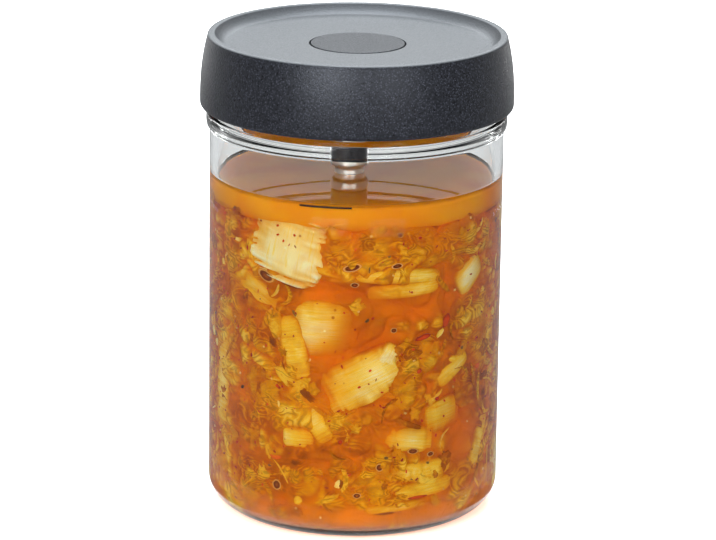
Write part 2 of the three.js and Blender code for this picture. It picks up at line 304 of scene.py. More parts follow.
def bump(tree, shader, height, strength, distance):
    """Tilts the shader's normal by a height whose full range stands for distance metres."""
    made = node(tree, "ShaderNodeBump", {"Height": height, "Strength": strength, "Distance": distance})
    join(tree, shader, Normal=made.outputs["Normal"])


def shades(*stops):
    """Colour stops (place, red, green, blue) as (place, linear colour)."""
    return [(place, linear(*colour)) for place, *colour in stops]


# %% [markdown]
# ## Glass
# The jar's glass is three millimetres thick, with a round heel, a bead under the lid and a narrower neck.
# Glass is a plain Principled shader with full transmission. Its skin has an outer and an inner side, and
# light bends at both, as in the real wall.

# %% Glass jar
BEAD_PROUD = 1.5
BEAD_ROUND = 0.5
BEAD_BOTTOM = 144.0
BEAD_TOP = 149.4
NECK_RADIUS = 52.2
MOUTH = 169.6
NECK_BORE = 49.2
BORE_START = 145.2
BORE_END = 150.6
FAINT_MIRROR = (0.12, 0.12, 0.12, 1)


def glass_finish():
    """Clear glass with the faint waves of a blown wall: a broad noise bends its normal by a hair."""
    material, tree, shader = new_material(
        "clear_glass", Base_Color=(0.97, 0.985, 0.98, 1), Roughness=0.0, IOR=1.5, Transmission_Weight=1.0,
        Specular_Tint=FAINT_MIRROR)
    bump(tree, shader, noise(tree, object_place(tree), 55.0, 1.0), 0.25, 0.0004)
    return material


clear_glass = glass_finish()


def glass_profile():
    """Up the outside from the foot, over the lip and down the inside to the floor."""
    bead, middle, lip = JAR_RADIUS + BEAD_PROUD, (BEAD_BOTTOM + BEAD_TOP) / 2, (NECK_RADIUS - NECK_BORE) / 2
    turn, low, high = bead - BEAD_ROUND, BEAD_BOTTOM + BEAD_ROUND, BEAD_TOP - BEAD_ROUND
    return [
        straight((0, 0), (JAR_RADIUS - HEEL, 0), 6),
        arc((JAR_RADIUS - HEEL, HEEL), HEEL, -90, 0, 24),
        straight((JAR_RADIUS, HEEL + 1), (JAR_RADIUS, BEAD_BOTTOM - 2 * BEAD_ROUND - 0.4), 8),
        soft((JAR_RADIUS, BEAD_BOTTOM - 2 * BEAD_ROUND), (JAR_RADIUS, BEAD_BOTTOM), (turn, low)),
        soft((turn, low), (bead, middle), (turn, high), 16),
        soft((turn, high), (NECK_RADIUS, BEAD_TOP), (NECK_RADIUS, BEAD_TOP + 3 * BEAD_ROUND)),
        straight((NECK_RADIUS, BEAD_TOP + 2), (NECK_RADIUS, MOUTH - lip - 0.4), 4),
        arc((NECK_RADIUS - lip, MOUTH - lip), lip, 0, 180, 16),
        straight((NECK_BORE, MOUTH - lip - 0.4), (NECK_BORE, BORE_END), 4),
        soft((NECK_BORE, BORE_END), (NECK_BORE, (BORE_START + BORE_END) / 2), (BORE, BORE_START), 16),
        straight((BORE, BORE_START - 0.4), (BORE, BASE + INNER_HEEL + 1), 8),
        arc((BORE - INNER_HEEL, BASE + INNER_HEEL), INNER_HEEL, 0, -90, 24),
        straight((BORE - INNER_HEEL - 0.5, BASE), (0, BASE), 6),
    ]


build("glass_wall", [turned(glass_profile())], clear_glass, ["jar_glass"])

# %% [markdown]
# ## Lid, button and press
# The lid is anthracite plastic with a fine grain, moulded with a soft rim and a shallow dish. The grain is
# a node group, because the button and the holder under the lid have it too at other strengths; it also
# paints bright glints into the colour. Faces that look up are painted a lighter grey: painted light from above.

# %% Fine grain and painted glints of moulded plastic
def grain_and_glints():
    """A fine noise, painted glints at the middles of small cells, and a broad noise of clouds.
    Tint is near 1 away from the glints.
    """
    tree, inside, outside = new_group("grain_and_glints", {"Grain": 1300.0, "Clouds": 40.0, "Depth": 0.2},
                                      {"Tint": "Color", "Rough": "Float", "Height": "Float"})
    place = object_place(tree)
    grain = noise(tree, place, inside.outputs["Grain"], 3.0, 0.6)
    clouds = noise(tree, place, inside.outputs["Clouds"], 2.0)
    cells = node(tree, "ShaderNodeTexVoronoi", {"Vector": place, "Scale": 1300.0}).outputs["Distance"]
    # The cells add painted glints: spots several times brighter in the colour.
    fine = math(tree, "ADD", remap(tree, grain, 0.3, 0.7, 0.2, 1.6), remap(tree, cells, 0.0, 0.4, 5.0, 0.0))
    join(tree, outside, Tint=math(tree, "MULTIPLY", fine, remap(tree, clouds, 0.3, 0.7, 0.94, 1.06)),
         Rough=remap(tree, grain, 0.3, 0.7, 0.26, 0.42),
         Height=math(tree, "MULTIPLY", grain, inside.outputs["Depth"]))
    return tree


GRAIN_AND_GLINTS = grain_and_glints()


def grained_plastic(name, colour, depth, painted_top_light=(0, 0, 0)):
    """Dark plastic: the group's tint, grain with painted glints, times the colour, its roughness, and its height
    as a bump. Where the surface looks up, by a smooth step over the upward share of its normal, painted light
    from above takes over: a lighter grey, darker or paler with the roughness."""
    material, tree, shader = new_material(name, Specular_Tint=(0.31, 0.33, 0.37, 1))
    grain = node(tree, "ShaderNodeGroup", {"Depth": depth}, node_tree=GRAIN_AND_GLINTS).outputs
    own = blend(tree, 1.0, colour, grain["Tint"], "MULTIPLY")
    # Painted light from above: faces that look up turn a lighter grey.
    facing = node(tree, "ShaderNodeSeparateXYZ", {0: node(tree, "ShaderNodeTexCoord").outputs["Normal"]})
    up = remap(tree, facing.outputs["Z"], 0.3, 0.8, 0.0, 1.0, "SMOOTHSTEP")
    top = math(tree, "MULTIPLY", up, 1.0 if any(painted_top_light) else 0.0)
    darker, lighter = ((*(share * value for value in painted_top_light), 1) for share in (0.7, 1.6))
    top_light = blend(tree, grain["Rough"], darker, lighter)
    join(tree, shader, Base_Color=blend(tree, top, own, top_light), Roughness=grain["Rough"])
    bump(tree, shader, grain["Height"], 1.0, 0.0005)
    return material


# %% Lid
LID_RADIUS = 57.5
LID_BOTTOM = 151.3
LID_TOP = 178.0
LID_WIDEST = 153.0
LID_RIM = 54.9
LID_TAPER = 2.4
RIM_BAND = 3.3
RIM_ROUND = 1.2
DISH = 3.8
DISH_FILLET = 3.6
LID_UNDERSIDE = 170.6
SKIRT_BORE = 53.0
BUTTON_RADIUS = 17.2
BUTTON_GAP = 0.5
POCKET = 2.0
POCKET_ROUND = 0.25


def lid_side(count=40):
    """Radius falls from the widest height to the rim by u^taper, with u the share of the way up."""
    u = np.linspace(0, 1, count)
    radius = LID_RADIUS - (LID_RADIUS - LID_RIM) * u ** LID_TAPER
    return np.column_stack([radius, LID_WIDEST + (LID_TOP - RIM_ROUND - LID_WIDEST) * u])


def lid_profile():
    """From the middle of the underside, down the skirt's inside, up its outside and into the dish."""
    floor, dish = LID_TOP - DISH, LID_RIM - RIM_BAND - DISH_FILLET
    band, hole = LID_RIM - RIM_BAND, BUTTON_RADIUS + BUTTON_GAP
    return [
        straight((0, LID_UNDERSIDE), (SKIRT_BORE - 1, LID_UNDERSIDE), 5),
        soft((SKIRT_BORE - 0.6, LID_UNDERSIDE), (SKIRT_BORE, LID_UNDERSIDE), (SKIRT_BORE, LID_UNDERSIDE - 0.6)),
        straight((SKIRT_BORE, LID_UNDERSIDE - 1), (SKIRT_BORE, LID_BOTTOM + 0.9), 4),
        soft((SKIRT_BORE, LID_BOTTOM + 0.5), (SKIRT_BORE, LID_BOTTOM), (SKIRT_BORE + 0.5, LID_BOTTOM)),
        straight((SKIRT_BORE + 0.8, LID_BOTTOM), (LID_RADIUS - 1.8, LID_BOTTOM), 3),
        soft((LID_RADIUS - 1.6, LID_BOTTOM), (LID_RADIUS, LID_BOTTOM), (LID_RADIUS, LID_WIDEST), 14),
        lid_side(),
        soft((LID_RIM, LID_TOP - RIM_ROUND), (LID_RIM, LID_TOP), (LID_RIM - RIM_ROUND, LID_TOP), 12),
        straight((LID_RIM - 1.5, LID_TOP), (band + 0.8, LID_TOP), 3),
        soft((band + 0.6, LID_TOP), (dish + DISH_FILLET / 2, floor), (dish, floor), 20),
        straight((dish - 0.5, floor), (hole + POCKET_ROUND + 0.1, floor), 12),
        soft((hole + POCKET_ROUND, floor), (hole, floor), (hole, floor - POCKET_ROUND), 6),
        straight((hole, floor - POCKET_ROUND - 0.1), (hole, floor - POCKET + 0.1), 3),
        soft((hole, floor - POCKET + 0.05), (hole, floor - POCKET), (hole - 0.05, floor - POCKET), 3),
        straight((hole - 0.1, floor - POCKET), (0, floor - POCKET), 4),
    ]


# The last colour is painted light from above, a lighter grey on the faces that look up.
lid_plastic = grained_plastic("lid_plastic", linear(16, 17, 21), 0.3, (0.06, 0.065, 0.07))
build("lid_shell", [turned(lid_profile(), 320)], lid_plastic, ["lid"])

# %% Push button
def button_profile():
    """A disc from the middle of its back, round its softened edge, to the middle of its face."""
    floor, back, top = LID_TOP - DISH, LID_TOP - DISH - POCKET + 0.35, LID_TOP - DISH + 0.15
    return [
        straight((0, back), (BUTTON_RADIUS - 0.2, back), 4),
        soft((BUTTON_RADIUS - 0.15, back), (BUTTON_RADIUS, back), (BUTTON_RADIUS, back + 0.15), 4),
        straight((BUTTON_RADIUS, back + 0.3), (BUTTON_RADIUS, top - 0.5), 3),
        soft((BUTTON_RADIUS, top - 0.35), (BUTTON_RADIUS, top), (BUTTON_RADIUS - 0.35, top), 8),
        straight((BUTTON_RADIUS - 0.6, top), (0, top), 10),
    ]


# The last colour is painted light from above on the button's face.
button_plastic = grained_plastic("button_plastic", linear(12, 13, 16), 0.5, (0.013, 0.015, 0.018))
build("push_button", [turned(button_profile(), 160)], button_plastic, ["lid_button"])

# %% Holder and steel stem of the press
STEM_OFFSET = (-2.5, 0.0)
HOLDER_RADIUS = 6.8
FLANGE_RADIUS = 7.0
FLANGE_BOTTOM = 128.7
FLANGE_TOP = 132.6
STEM_RADIUS = 5.4
STEM_END = 121.7
GAP = 0.35


def holder_profile():
    """A plain rod with a softened lower edge, from just above the flange to just under the lid."""
    low, high = FLANGE_TOP + GAP, LID_UNDERSIDE - GAP
    return [
        straight((0, low), (HOLDER_RADIUS - 0.9, low), 3),
        soft((HOLDER_RADIUS - 0.8, low), (HOLDER_RADIUS, low), (HOLDER_RADIUS, low + 0.8)),
        straight((HOLDER_RADIUS, low + 1), (HOLDER_RADIUS, high - 0.2), 6),
        soft((HOLDER_RADIUS, high - 0.1), (HOLDER_RADIUS, high), (HOLDER_RADIUS - 0.1, high), 3),
        straight((HOLDER_RADIUS - 0.3, high), (0, high), 3),
    ]


def stem_profile():
    """The stem's rounded end, its straight side, and the flange with a full round edge."""
    low, high = FLANGE_BOTTOM, FLANGE_TOP
    return [
        straight((0, STEM_END), (STEM_RADIUS - 0.9, STEM_END), 3),
        soft((STEM_RADIUS - 0.8, STEM_END), (STEM_RADIUS, STEM_END), (STEM_RADIUS, STEM_END + 0.8)),
        straight((STEM_RADIUS, STEM_END + 1), (STEM_RADIUS, low - 0.1), 6),
        soft((STEM_RADIUS + 0.1, low), (FLANGE_RADIUS, low), (FLANGE_RADIUS, low + 1.6), 12),
        straight((FLANGE_RADIUS, low + 1.8), (FLANGE_RADIUS, high - 1), 3),
        soft((FLANGE_RADIUS, high - 0.8), (FLANGE_RADIUS, high), (FLANGE_RADIUS - 0.8, high), 8),
        straight((FLANGE_RADIUS - 1, high), (0, high), 3),
    ]


def turned_steel():
    """Bright steel with fine turning lines: a noise squeezed over height and stretched round the axis."""
    material, tree, shader = new_material("turned_steel", Base_Color=linear(222, 222, 218), Metallic=0.88)
    squeezed = node(tree, "ShaderNodeMapping", {"Vector": object_place(tree), "Scale": (40.0, 40.0, 2500.0)})
    lines = noise(tree, squeezed.outputs[0], 1.0, 3.0)
    join(tree, shader, Roughness=remap(tree, lines, 0.3, 0.7, 0.3, 0.48))
    bump(tree, shader, lines, 0.3, 0.00005)
    return material


holder_plastic = grained_plastic("holder_plastic", linear(44, 42, 44), 0.1)
build("holder_rod", [turned(holder_profile(), 96, STEM_OFFSET)], holder_plastic, ["press_holder"])
build("steel_stem", [turned(stem_profile(), 128, STEM_OFFSET)], turned_steel(), ["press_stem"])

# %% [markdown]
# ## Uneven things
# Cabbage is never plain. Its lobes, creases and stains come from random fields: one number for each place,
# smooth from place to place. A crease is the line along which such a field passes its middle value.

# %% Random fields
LATTICE = 32
PRIME = 2 ** 31 - 1


def cloud(points, size, seed):
    """Random values on a cubic lattice of cells size mm wide, blended by 3f^2 - 2f^3 along each axis."""
    lattice = np.random.default_rng(seed).random((LATTICE, LATTICE, LATTICE))
    q = points / size
    base = np.floor(q).astype(int)
    f = q - base
    f = f * f * (3 - 2 * f)
    total = np.zeros(points.shape[:-1])
    for corner in np.ndindex(2, 2, 2):
        share = np.prod(np.where(corner, f, 1 - f), axis=-1)
        x, y, z = np.moveaxis((base + corner) % LATTICE, -1, 0)
        total += share * lattice[x, y, z]
    return total


def warped(points, size, amount, seed):
    """Places moved by up to amount mm each way, as three clouds of one size say."""
    shift = np.stack([cloud(points, size, seed + k) for k in (1, 2, 3)], axis=-1) - 0.5
    return points + 2 * amount * shift


def creases(points, size, sharp, seed):
    """(1 - |2 c - 1|)^sharp of a cloud: near 1 on thin winding lines, near 0 on the lobes between."""
    return (1 - np.abs(2 * cloud(points, size, seed) - 1)) ** sharp


def frills(points, size, count, seed):
    """0.5 + 0.5 sin(2 pi count c) of a cloud: nested wavy bands, as where a leaf's edge is ruffled."""
    return 0.5 + 0.5 * np.sin(2 * np.pi * count * cloud(points, size, seed))


def bore_radius(height):
    """The glass's inner radius: straight above the heel, and a quarter circle in it."""
    below = np.clip(BASE + INNER_HEEL - height, 0, INNER_HEEL)
    return BORE - INNER_HEEL + np.sqrt(INNER_HEEL ** 2 - below ** 2)


def on_wall(angle, height, depth):
    """(r sin a, -r cos a, z): angle in radians from the front, depth in mm inwards from the glass."""
    r = bore_radius(height) - depth
    return np.stack([r * np.sin(angle), -r * np.cos(angle), height + 0 * angle], axis=-1)


def draws(seed):
    """Repeatable numbers between 0 and 1: each state is the last one times 16807, modulo 2^31 - 1."""
    state = seed
    while True:
        state = state * 16807 % PRIME
        yield state / PRIME


# %% [markdown]
# ## Colour of the food
# All the cabbage is stained by the same brine. A piece that touches the glass shows its own colour, and
# what lies deeper fades into orange. Each mesh carries its depth behind the glass in millimetres and how
# pale it is. One group turns the depth into stain, and another draws fibres, mottle and specks, and the
# squiggly lines and ridges along the folds, which are painted shade in the creases and painted highlight
# on the crests.

# %% Stain by depth
BRINE = linear(222, 117, 8)
YELLOWED = (1.0, 0.8, 0.2, 1.0)


def brine_stain():
    """First yellow: own colour times YELLOWED, by a share of 1 - e^(-depth). Then the brine's colour, by
    a share of 1 - e^(-(depth / reach)^2)."""
    tree, inside, outside = new_group("brine_stain", {"Color": YELLOWED, "Brine": BRINE, "Reach": 2.2},
                                      {"Color": "Color"})
    own, depth = inside.outputs["Color"], carried(tree, "depth")
    share = math(tree, "POWER", math(tree, "DIVIDE", depth, inside.outputs["Reach"]), 2.0)
    left = math(tree, "EXPONENT", math(tree, "MULTIPLY", share, -1.0))
    clear = math(tree, "EXPONENT", math(tree, "MULTIPLY", depth, -1.0))
    tinted = blend(tree, clear, blend(tree, 1.0, own, YELLOWED, "MULTIPLY"), own)
    drift = remap(tree, noise(tree, object_place(tree), 70.0, 2.0), 0.3, 0.7, 0.84, 1.16)
    brine = blend(tree, 1.0, inside.outputs["Brine"], drift, "MULTIPLY")
    join(tree, outside, Color=blend(tree, left, brine, tinted))
    return tree


# %% Lines, fibres, mottle and specks
def leaf_marks():
    """Lines and ridges are the troughs and crests of sin(bands x noise), nested like the frill of a leaf:
    lines are painted shade in its creases, ridges a painted highlight on its crests.
    Fibres are a noise drawn out along the piece's own length. Specks are rare round Voronoi cells."""
    marks = ("Lines", "Ridges", "Fibres", "Mottle", "Specks")
    tree, inside, outside = new_group("leaf_marks", {"Size": 110.0, "Bands": 50.0, "Warp": 0.004},
                                      dict.fromkeys(marks, "Float"))
    place = object_place(tree)
    sway = node(tree, "ShaderNodeTexNoise", {"Vector": place, "Scale": 95.0, "Detail": 2.0}).outputs["Color"]
    shift = node(tree, "ShaderNodeVectorMath", {0: sway, 1: (0.5, 0.5, 0.5)}, operation="SUBTRACT").outputs[0]
    warp = {0: shift, "Scale": inside.outputs["Warp"]}
    moved = node(tree, "ShaderNodeVectorMath", {
        0: place, 1: node(tree, "ShaderNodeVectorMath", warp, operation="SCALE").outputs[0]}, operation="ADD")
    flat = node(tree, "ShaderNodeMapping", {"Vector": moved.outputs[0], "Scale": (0.75, 0.75, 1.3)}).outputs[0]
    coarse = noise(tree, flat, inside.outputs["Size"], 2.5, 0.4, 0.5)
    wave = math(tree, "SINE", math(tree, "MULTIPLY", coarse, inside.outputs["Bands"]))
    strong = remap(tree, noise(tree, place, 120.0, 1.0), 0.36, 0.56, 0.15, 1.0)
    # Troughs are painted shade in the folds, crests a painted highlight on them.
    troughs = remap(tree, wave, 0.2, 1.0, 0.0, 1.0, "SMOOTHSTEP")
    crests = remap(tree, wave, -0.95, -0.3, 1.0, 0.0, "SMOOTHSTEP")
    local = node(tree, "ShaderNodeUVMap", uv_map="local").outputs["UV"]
    along = node(tree, "ShaderNodeMapping", {"Vector": local, "Scale": (0.09, 1.3, 1.0)}).outputs[0]
    cells = node(tree, "ShaderNodeTexVoronoi", {"Vector": place, "Scale": 330.0}).outputs
    dot = remap(tree, cells["Distance"], 0.14, 0.24, 1.0, 0.0)
    join(tree, outside, Lines=math(tree, "MULTIPLY", troughs, strong),
         Ridges=math(tree, "MULTIPLY", crests, strong),
         Fibres=math(tree, "SUBTRACT", noise(tree, along, 1.0, 4.0, 0.6, 0.3), 0.5),
         Mottle=math(tree, "SUBTRACT", noise(tree, place, 230.0, 6.0, 0.7, 0.7), 0.5),
         Specks=math(tree, "MULTIPLY", dot, remap(tree, cells["Color"], 0.88, 0.9, 0.0, 1.0)))
    return tree


STAIN = brine_stain()
MARKS = leaf_marks()

# %% Cabbage finishes
SPECK = linear(158, 58, 14)


def cabbage(name, stops, line_colour, size, bands, lines, ridges, fibres, mottle, reach=1.7):
    """Paleness + ridges + fibres + mottle picks a colour; the ridges add a painted highlight. Lines darken it as
    painted shade in the creases, specks darken it, brine stains it.
    """
    material, tree, shader = new_material(name, Roughness=0.4, Specular_IOR_Level=0.0)
    marks = node(tree, "ShaderNodeGroup", {"Size": size, "Bands": bands}, node_tree=MARKS).outputs
    tone = carried(tree, "pale")
    for mark, strength in (("Ridges", ridges), ("Fibres", fibres), ("Mottle", mottle)):
        tone = math(tree, "MULTIPLY_ADD", marks[mark], strength, tone)
    # The lines lay painted crease shade in the line colour.
    lined = blend(tree, math(tree, "MULTIPLY", marks["Lines"], lines), ramp(tree, tone, stops), line_colour)
    dotted = blend(tree, math(tree, "MULTIPLY", marks["Specks"], 0.8), lined, SPECK)
    stain = node(tree, "ShaderNodeGroup", {"Color": dotted, "Reach": reach}, node_tree=STAIN)
    join(tree, shader, Base_Color=stain.outputs["Color"])
    bump(tree, shader, math(tree, "MULTIPLY_ADD", marks["Lines"], -0.5 * lines, tone), 0.7, 0.0006)
    return material


MASH = shades((0, 112, 48, 4), (0.2, 172, 80, 4), (0.4, 206, 112, 8), (0.6, 222, 144, 14), (0.8, 236, 174, 26),
              (1, 250, 210, 78))
PALE = shades((0, 228, 132, 12), (0.25, 244, 184, 30), (0.5, 252, 220, 86), (0.8, 255, 238, 158),
              (1, 255, 252, 232))
OLIVE = shades((0, 114, 52, 4), (0.25, 176, 90, 5), (0.5, 208, 128, 8), (0.75, 228, 156, 16), (1, 244, 192, 52))
STRAW = shades((0, 206, 110, 10), (0.4, 236, 162, 22), (0.7, 248, 202, 58), (1, 254, 232, 140))
# Each finish's line colour is its painted crease shade.
mash = cabbage("cabbage_mash", MASH, linear(150, 62, 10), 105.0, 60.0, lines=0.5, ridges=0.2, fibres=0.1,
               mottle=0.9)
rib = cabbage("cabbage_rib", PALE, linear(224, 150, 56), 60.0, 20.0, lines=0.15, ridges=0.05, fibres=1.2,
              mottle=0.3, reach=2.4)
leaf = cabbage("cabbage_leaf", OLIVE, linear(132, 74, 6), 125.0, 75.0, lines=0.5, ridges=0.22, fibres=0.3,
               mottle=1.0)
shred = cabbage("cabbage_shred", STRAW, linear(206, 126, 30), 90.0, 30.0, lines=0.3, ridges=0.1, fibres=0.9,
                mottle=0.4)

# %% [markdown]
# ## Pieces against the glass
# The pieces that press on the glass are slabs: thick pale ribs, thin crinkled leaves and narrow shreds.
# Each has a place on the wall: its angle from the front, its height, its width and height in millimetres,
# and how far it is turned. Some sink away from the glass to one side and fade into the brine there. A kind
# says how thick, blunt-cornered, ragged and domed its pieces are, and how far behind the glass they start.
# Tone makes one piece paler or darker, and fray tears its edge.

# %% Kinds of piece and where they lie
RIB = {"kind": "rib", "thick": 6.0, "corner": 0.6, "ragged": 0.12, "dome": 1.5, "inset": 0.1}
LEAF = {"kind": "leaf", "thick": 5.0, "corner": 0.8, "ragged": 0.3, "dome": 1.2, "inset": 0.12}
SHRED = {"kind": "shred", "thick": 5.0, "corner": 0.5, "ragged": 0.12, "dome": 0.8, "inset": 0.08}


def lay(kind, at, z, wide, tall, turn, **more):
    """A piece of one kind: degrees round from the front, height, its own width and height, and its turn."""
    return {**kind, "at": at, "z": z, "wide": wide, "tall": tall, "turn": turn, **more}


FRONT = [
    lay(RIB, -29, 109, 28, 33, 78, sinks=(10, 1.1), fray=6, tone=0.6, inset=0.03, dome=0.9),
    lay(LEAF, -6, 108.5, 13, 24, 4),
    lay(LEAF, 18, 112.5, 37, 16, -3),
    lay(LEAF, 47, 110.5, 28, 19, 14),
    lay(SHRED, 18, 99.8, 35, 6, -3, sinks=(180, 0.4), inset=0.03),
    lay(SHRED, 20, 94.4, 30, 6, 2, sinks=(180, 1.6)),
    lay(RIB, 55, 96, 18, 12, 30, sinks=(-30, 1.6)),
    lay(SHRED, -41, 90, 24, 9, -28, sinks=(0, 1.6)),
    lay(RIB, -12, 79.5, 27, 23, 0, sinks=(-30, 4.0), tone=-0.06, fray=2),
    lay(SHRED, -25, 72, 10, 26, 14),
    lay(RIB, 3, 61.5, 39, 23, 27, sinks=(150, 1.7), tone=-0.06, ragged=0.3, fray=4),
    lay(LEAF, 23, 59.5, 14, 29, -4),
    lay(SHRED, 44, 62, 18, 7, 33),
    lay(RIB, 40, 45, 20, 15, 8, sinks=(-60, 2.6), tone=-0.28, ragged=0.25, fray=3),
    lay(RIB, 24, 38, 26, 11, -8, sinks=(150, 2.2), tone=-0.25, ragged=0.3, fray=4),
    lay(SHRED, 30, 25.5, 27, 7.5, 2),
    lay(SHRED, 31, 18.3, 26, 7, 4),
    lay(LEAF, 6, 20, 27, 19, 0),
    lay(RIB, -23, 38, 15, 9, 2, sinks=(0, 1.2), tone=-0.35, fray=3),
    lay(LEAF, -39, 54, 22, 28, 10),
    lay(SHRED, -18, 49, 8, 29, 32, sinks=(90, 1.5)),
    lay(SHRED, -66, 52, 10, 42, -4),
    lay(LEAF, -59, 104, 14, 31, 3),
    lay(LEAF, -47, 19, 22, 15, -35),
    lay(SHRED, 62, 31, 7, 24, -24),
    lay(LEAF, -62, 78, 19, 19, 20),
    lay(LEAF, 60, 73, 22, 23, -18),
]


def side_pieces():
    """Five rows of five round the sides and back, with kind, size and turn drawn at random."""
    draw, pieces = draws(41), []
    for row in range(5):
        for column in range(5):
            kind = [RIB, LEAF, LEAF, SHRED][int(next(draw) * 4)]
            narrow = kind is SHRED
            at = 94 + 40 * column + 16 * (row % 2) + 10 * (next(draw) - 0.5)
            z = 17 + 23.5 * row + 4 * (next(draw) - 0.5)
            wide = 30 + (8 if narrow else 9) * next(draw)
            tall = 9 + 4 * next(draw) if narrow else 21 + 6 * next(draw)
            turn = (70 if narrow else 40) * (next(draw) - 0.5)
            sinks = ((row * 77 + column * 131) % 360, 0.0 if narrow else 2.2)
            torn = {"tone": 0.12} if kind is LEAF else {"ragged": 0.3, "fray": 3 + 3 * next(draw)}
            pieces.append(lay(kind, at, z, wide, tall, turn, sinks=sinks, **torn))
    return pieces


PIECES = FRONT + side_pieces()
print(len(PIECES), "large pieces on the wall")

# %% Pools of plain brine
POOLS = [lay({}, at, z, wide, tall, 0, deep=deep) for at, z, wide, tall, deep in (
    (-6, 94.2, 44, 7, 4.5), (24, 88, 34, 11, 4.0), (10, 76, 20, 14, 4.5), (-45, 59, 11, 8, 4.0),
    (-34, 10, 28, 10, 4.5), (50, 38, 14, 26, 4.0), (12, 9, 66, 6, 4.0), (43, 90, 12, 18, 3.0),
    (-12, 30, 12, 8, 2.5), (118, 84, 36, 12, 4.5), (150, 40, 26, 16, 4.0), (196, 99, 30, 10, 4.5),
    (205, 58, 30, 14, 4.5), (250, 30, 34, 14, 4.5), (262, 88, 24, 12, 4.0), (180, 9, 90, 7, 4.0),
)]


def nearness(angle, height, spot, grow=1.0):
    """e^(-d^4), where d is the distance from the spot's middle over half its width and half its height."""
    turn = np.radians(spot["turn"])
    off = (angle - np.radians(spot["at"]) + np.pi) % (2 * np.pi) - np.pi
    across, along = off * BORE, height - spot["z"]
    u = across * np.cos(turn) + along * np.sin(turn)
    v = along * np.cos(turn) - across * np.sin(turn)
    square = (2 * u / (spot["wide"] * grow)) ** 2 + (2 * v / (spot["tall"] * grow)) ** 2
    return np.exp(-square ** 2)


# %% [markdown]
# ## Core of the heap
# Most of what is behind the glass is a packed mass of folded leaf and paste. One skin stands for it: a
# turned shape a hair inside the glass, pushed inwards at the creases, in the pools of plain brine and
# behind the thick pieces.

# %% Core
def core_profile():
    """Under the heap, round the heel, up beside the glass, and over the top: a skin's width inside it."""
    skin, shoulder, heel = 0.2, 7.0, BORE - INNER_HEEL
    return np.concatenate([
        straight((3, BASE + skin), (heel - 1, BASE + skin), 8),
        arc((heel, BASE + INNER_HEEL), INNER_HEEL - skin, -90, 0, 12),
        straight((BORE - skin, BASE + INNER_HEEL + 0.7), (BORE - skin, HEAP_TOP - shoulder - 2.5), 168),
        arc((BORE - skin - shoulder, HEAP_TOP - shoulder - 2), shoulder, 0, 90, 12),
        straight((BORE - skin - shoulder - 1, HEAP_TOP - 2), (3, HEAP_TOP - 2), 20),
    ])


def core():
    """Place = profile point at angle a, moved against its own normal by the depth of the hollows."""
    profile = core_profile()
    ahead = np.gradient(profile, axis=0)
    normal = np.column_stack([ahead[:, 1], -ahead[:, 0]]) / np.linalg.norm(ahead, axis=1)[:, None]
    a = np.linspace(0, 2 * np.pi, 432, endpoint=False)
    r, z = profile[:, :1], profile[:, 1:]
    spots = np.stack([r * np.sin(a), -r * np.cos(a), z + 0 * a], axis=-1)
    moved = warped(spots, 13, 4.5, 60)
    large = creases(moved * (1, 1, 1.3), 8, 5, 3)
    small = frills(moved, 9, 3.2, 8) ** 2 * cloud(spots, 10, 70)
    depth = 0.1 + 2.0 * large + 1.3 * small + 1.6 * np.clip(cloud(spots, 17, 21) - 0.56, 0, 1)
    for pool in POOLS:
        depth = depth + 0.75 * pool["deep"] * nearness(a, z, pool)
    for piece in PIECES:
        if piece["kind"] == "rib":
            depth = depth + (0.8 + 0.8 * piece["sinks"][1]) * nearness(a, z, piece)
    push = depth * np.clip((z - 5) / 9, 0.02, 1)
    moved_r = r - push * normal[:, :1]
    moved_z = z - push * normal[:, 1:]
    rings = np.stack([moved_r * np.sin(a), -moved_r * np.cos(a), moved_z], axis=-1)
    pale = 0.62 + 0.9 * (cloud(spots, 11, 30) - 0.5) + 0.4 * (cloud(spots, 3.5, 31) - 0.5)
    # Creases and frills are also painted darker: painted shade in the hollows.
    pale = pale - 0.45 * large - 0.5 * small
    shape = skins(rings[None], np.array([[0, 0, profile[0, 1]]]), np.array([[0, 0, profile[-1, 1] - 3]]))
    local = np.stack([a * BORE + 0 * z, z + 0 * a], axis=-1)
    return (*shape, {
        "depth": np.append(depth.ravel() + 0.2, [4, 4]),
        "pale": np.append(np.clip(pale, 0, 1).ravel(), [0, 0]),
        "local": np.concatenate([local.reshape(-1, 2), np.zeros((2, 2))]),
    })


build("heap_core", [core()], mash, ["kimchi"])

# %% [markdown]
# ## Slabs
# A slab is a globe squashed flat, so it is closed by nature. Its outline is a blunt oval with an uneven
# edge, its front is lifted by its own folds, and it is bent round the jar.

# %% One slab
RELIEF = {"rib": 0.9, "leaf": 2.0, "shred": 0.8}
FACE_REACH, EDGE_BULGE = 0.94, 0.06
EDGE_ROWS, EDGE_REACH = 9, 0.97
BACK_REACH = np.linspace(0.9, 0.2, 5)
LOWEST = BASE + 0.6


def outline(count, ragged, seed):
    """The share of full reach at each angle round a piece: 1 less a few smooth random waves."""
    a = np.linspace(0, 2 * np.pi, count, endpoint=False)
    circle = np.stack([np.cos(a), np.sin(a), 0 * a], axis=-1)
    return a, 1 - ragged * (0.7 * cloud(circle + 7, 0.8, seed) + 0.3 * cloud(circle + 7, 0.25, seed + 1))


